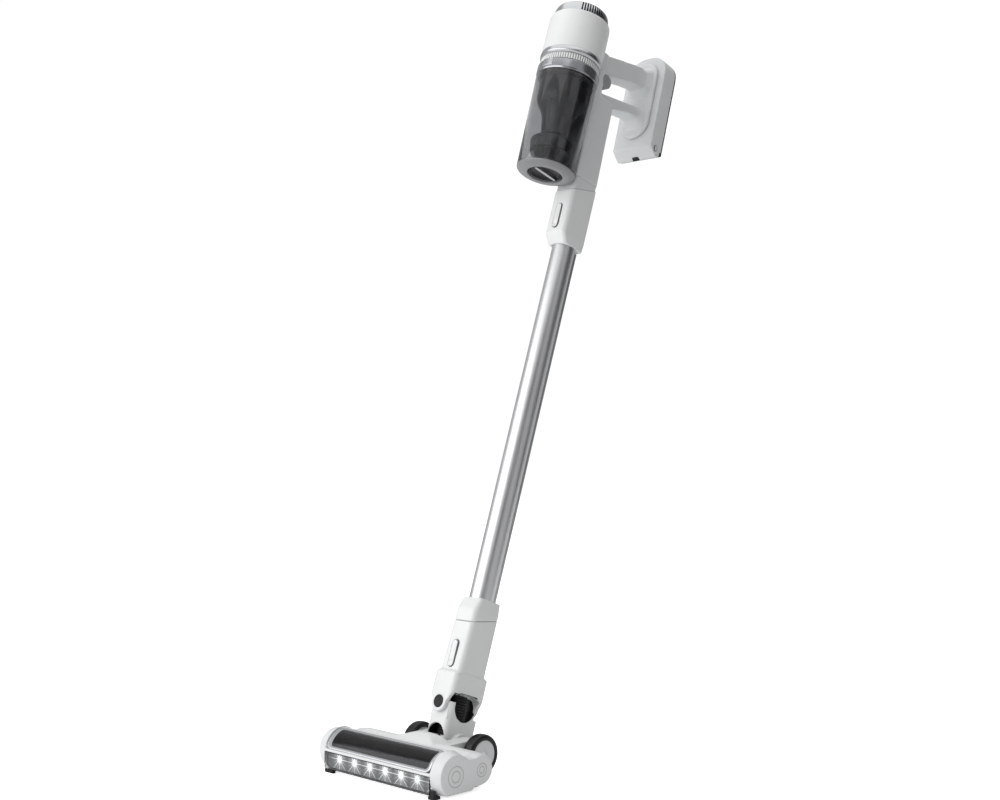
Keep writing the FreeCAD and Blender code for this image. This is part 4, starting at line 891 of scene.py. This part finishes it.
SECOND_LOOKS = {
    "fork_moulding": (STICK, fork_hollow_shade),
    "neck_moulding": (STICK, neck_hollow_shade),
    "battery_shell": (HAND, plate_corner),
    "battery_key_left": (HAND, release_outline_shade),
    "battery_key_right": (HAND, release_outline_shade),
    "upper_key": (STICK, key_outline_shade(*UPPER_BUTTON)),
    "lower_key": (STICK, key_outline_shade(*LOWER_BUTTON)),
}


def mouldings():
    """Every moulded part: its name, CAD node, body, look, remesh size (mm) and rounds of smoothing."""
    for name, node, body, look, voxel, rounds in (
            ("handle_moulding", "handle_frame", "handheld", "grey", 1.2, 9),
            ("port_band", "inlet_port", "handheld", "grey", 0.8, 3),
            ("trigger_moulding", "trigger", "trigger", "trigger", 0.6, 4),
            ("battery_shell", "battery_case", "battery", "grey", 1.1, 7),
            ("battery_plate", "battery_back", "battery", "black", 0.9, 3),
            ("battery_catch", "battery_clip", "battery", "black", 0.5, 2),
            ("battery_key_left", "battery_button_left", "battery_button_left", "grey", 0.3, 2),
            ("battery_key_right", "battery_button_right", "battery_button_right", "grey", 0.3, 2),
            ("connector_moulding", "wand_connector", "wand", "white", 0.9, 5),
            ("collar_moulding", "wand_collar", "wand", "white", 0.9, 5),
            ("upper_key", "upper_button", "upper_button", "white", 0.45, 4),
            ("lower_key", "lower_button", "lower_button", "white", 0.45, 4),
            ("fork_moulding", "head_adapter", "adapter", "white", 0.9, 4),
            ("neck_moulding", "lower_neck", "neck", "white", 0.8, 4),
            ("cover_moulding", "head_cover", "head", "white", 1.0, 6),
            ("end_cover_left", "end_cap_left", "head", "ringed", 0.8, 5),
            ("end_cover_right", "end_cap_right", "head", "ringed", 0.8, 5),
            ("sole_moulding", "sole_plate", "head", "black", 0.8, 2),
            ("glide_pads", "glides", "head", "black", 0.6, 2)):
        piece = moulded(name, node, body, look, voxel, rounds)
        if name in SECOND_LOOKS:
            paint(piece, *SECOND_LOOKS[name])


def inner_parts():
    """The parts inside keep their CAD form and get their own materials."""
    for node, look in (("exhaust_filter", "foam"), ("suction_motor", "motor"), ("motor_mount", "rubber"),
                       ("impeller", "black"), ("trigger_pin", "steel"), ("prefilter", "foam"),
                       ("battery_cells", "cell"), ("battery_terminals", "contact"), ("wand_wires", "wire"),
                       # The swing pins are steel but wear the black look, so that they stay dark in the fork hollow:
                       # painted shade.
                       ("swing_pins", "black"), ("brush_core", "black"), ("brush_motor", "motor"),
                       ("drive_belt", "rubber"), ("motor_pulley", "black"), ("pivot_axles", "steel")):
        dress(node, look)


# ---------------------------------------------------------------- everything
add_camera()
bpy.context.scene.view_settings.view_transform = "Standard"
add_world(WORLD_SEEN, WORLD_LIGHT)
add_floor()
add_light("left_softbox", (-0.62, -2.1, 1.25), (0, 0, 0.75), 3.2, 42.0, 2.2)
add_light("top_softbox", (0, 0, 3.4), (0, 0, 0), 4.2, 50.0)
add_flags()
motor_unit()
dust_bin()
tube()
mouldings()
hose()
pin_caps()
wheels()
roller()
window()
light_strip()
inner_parts()
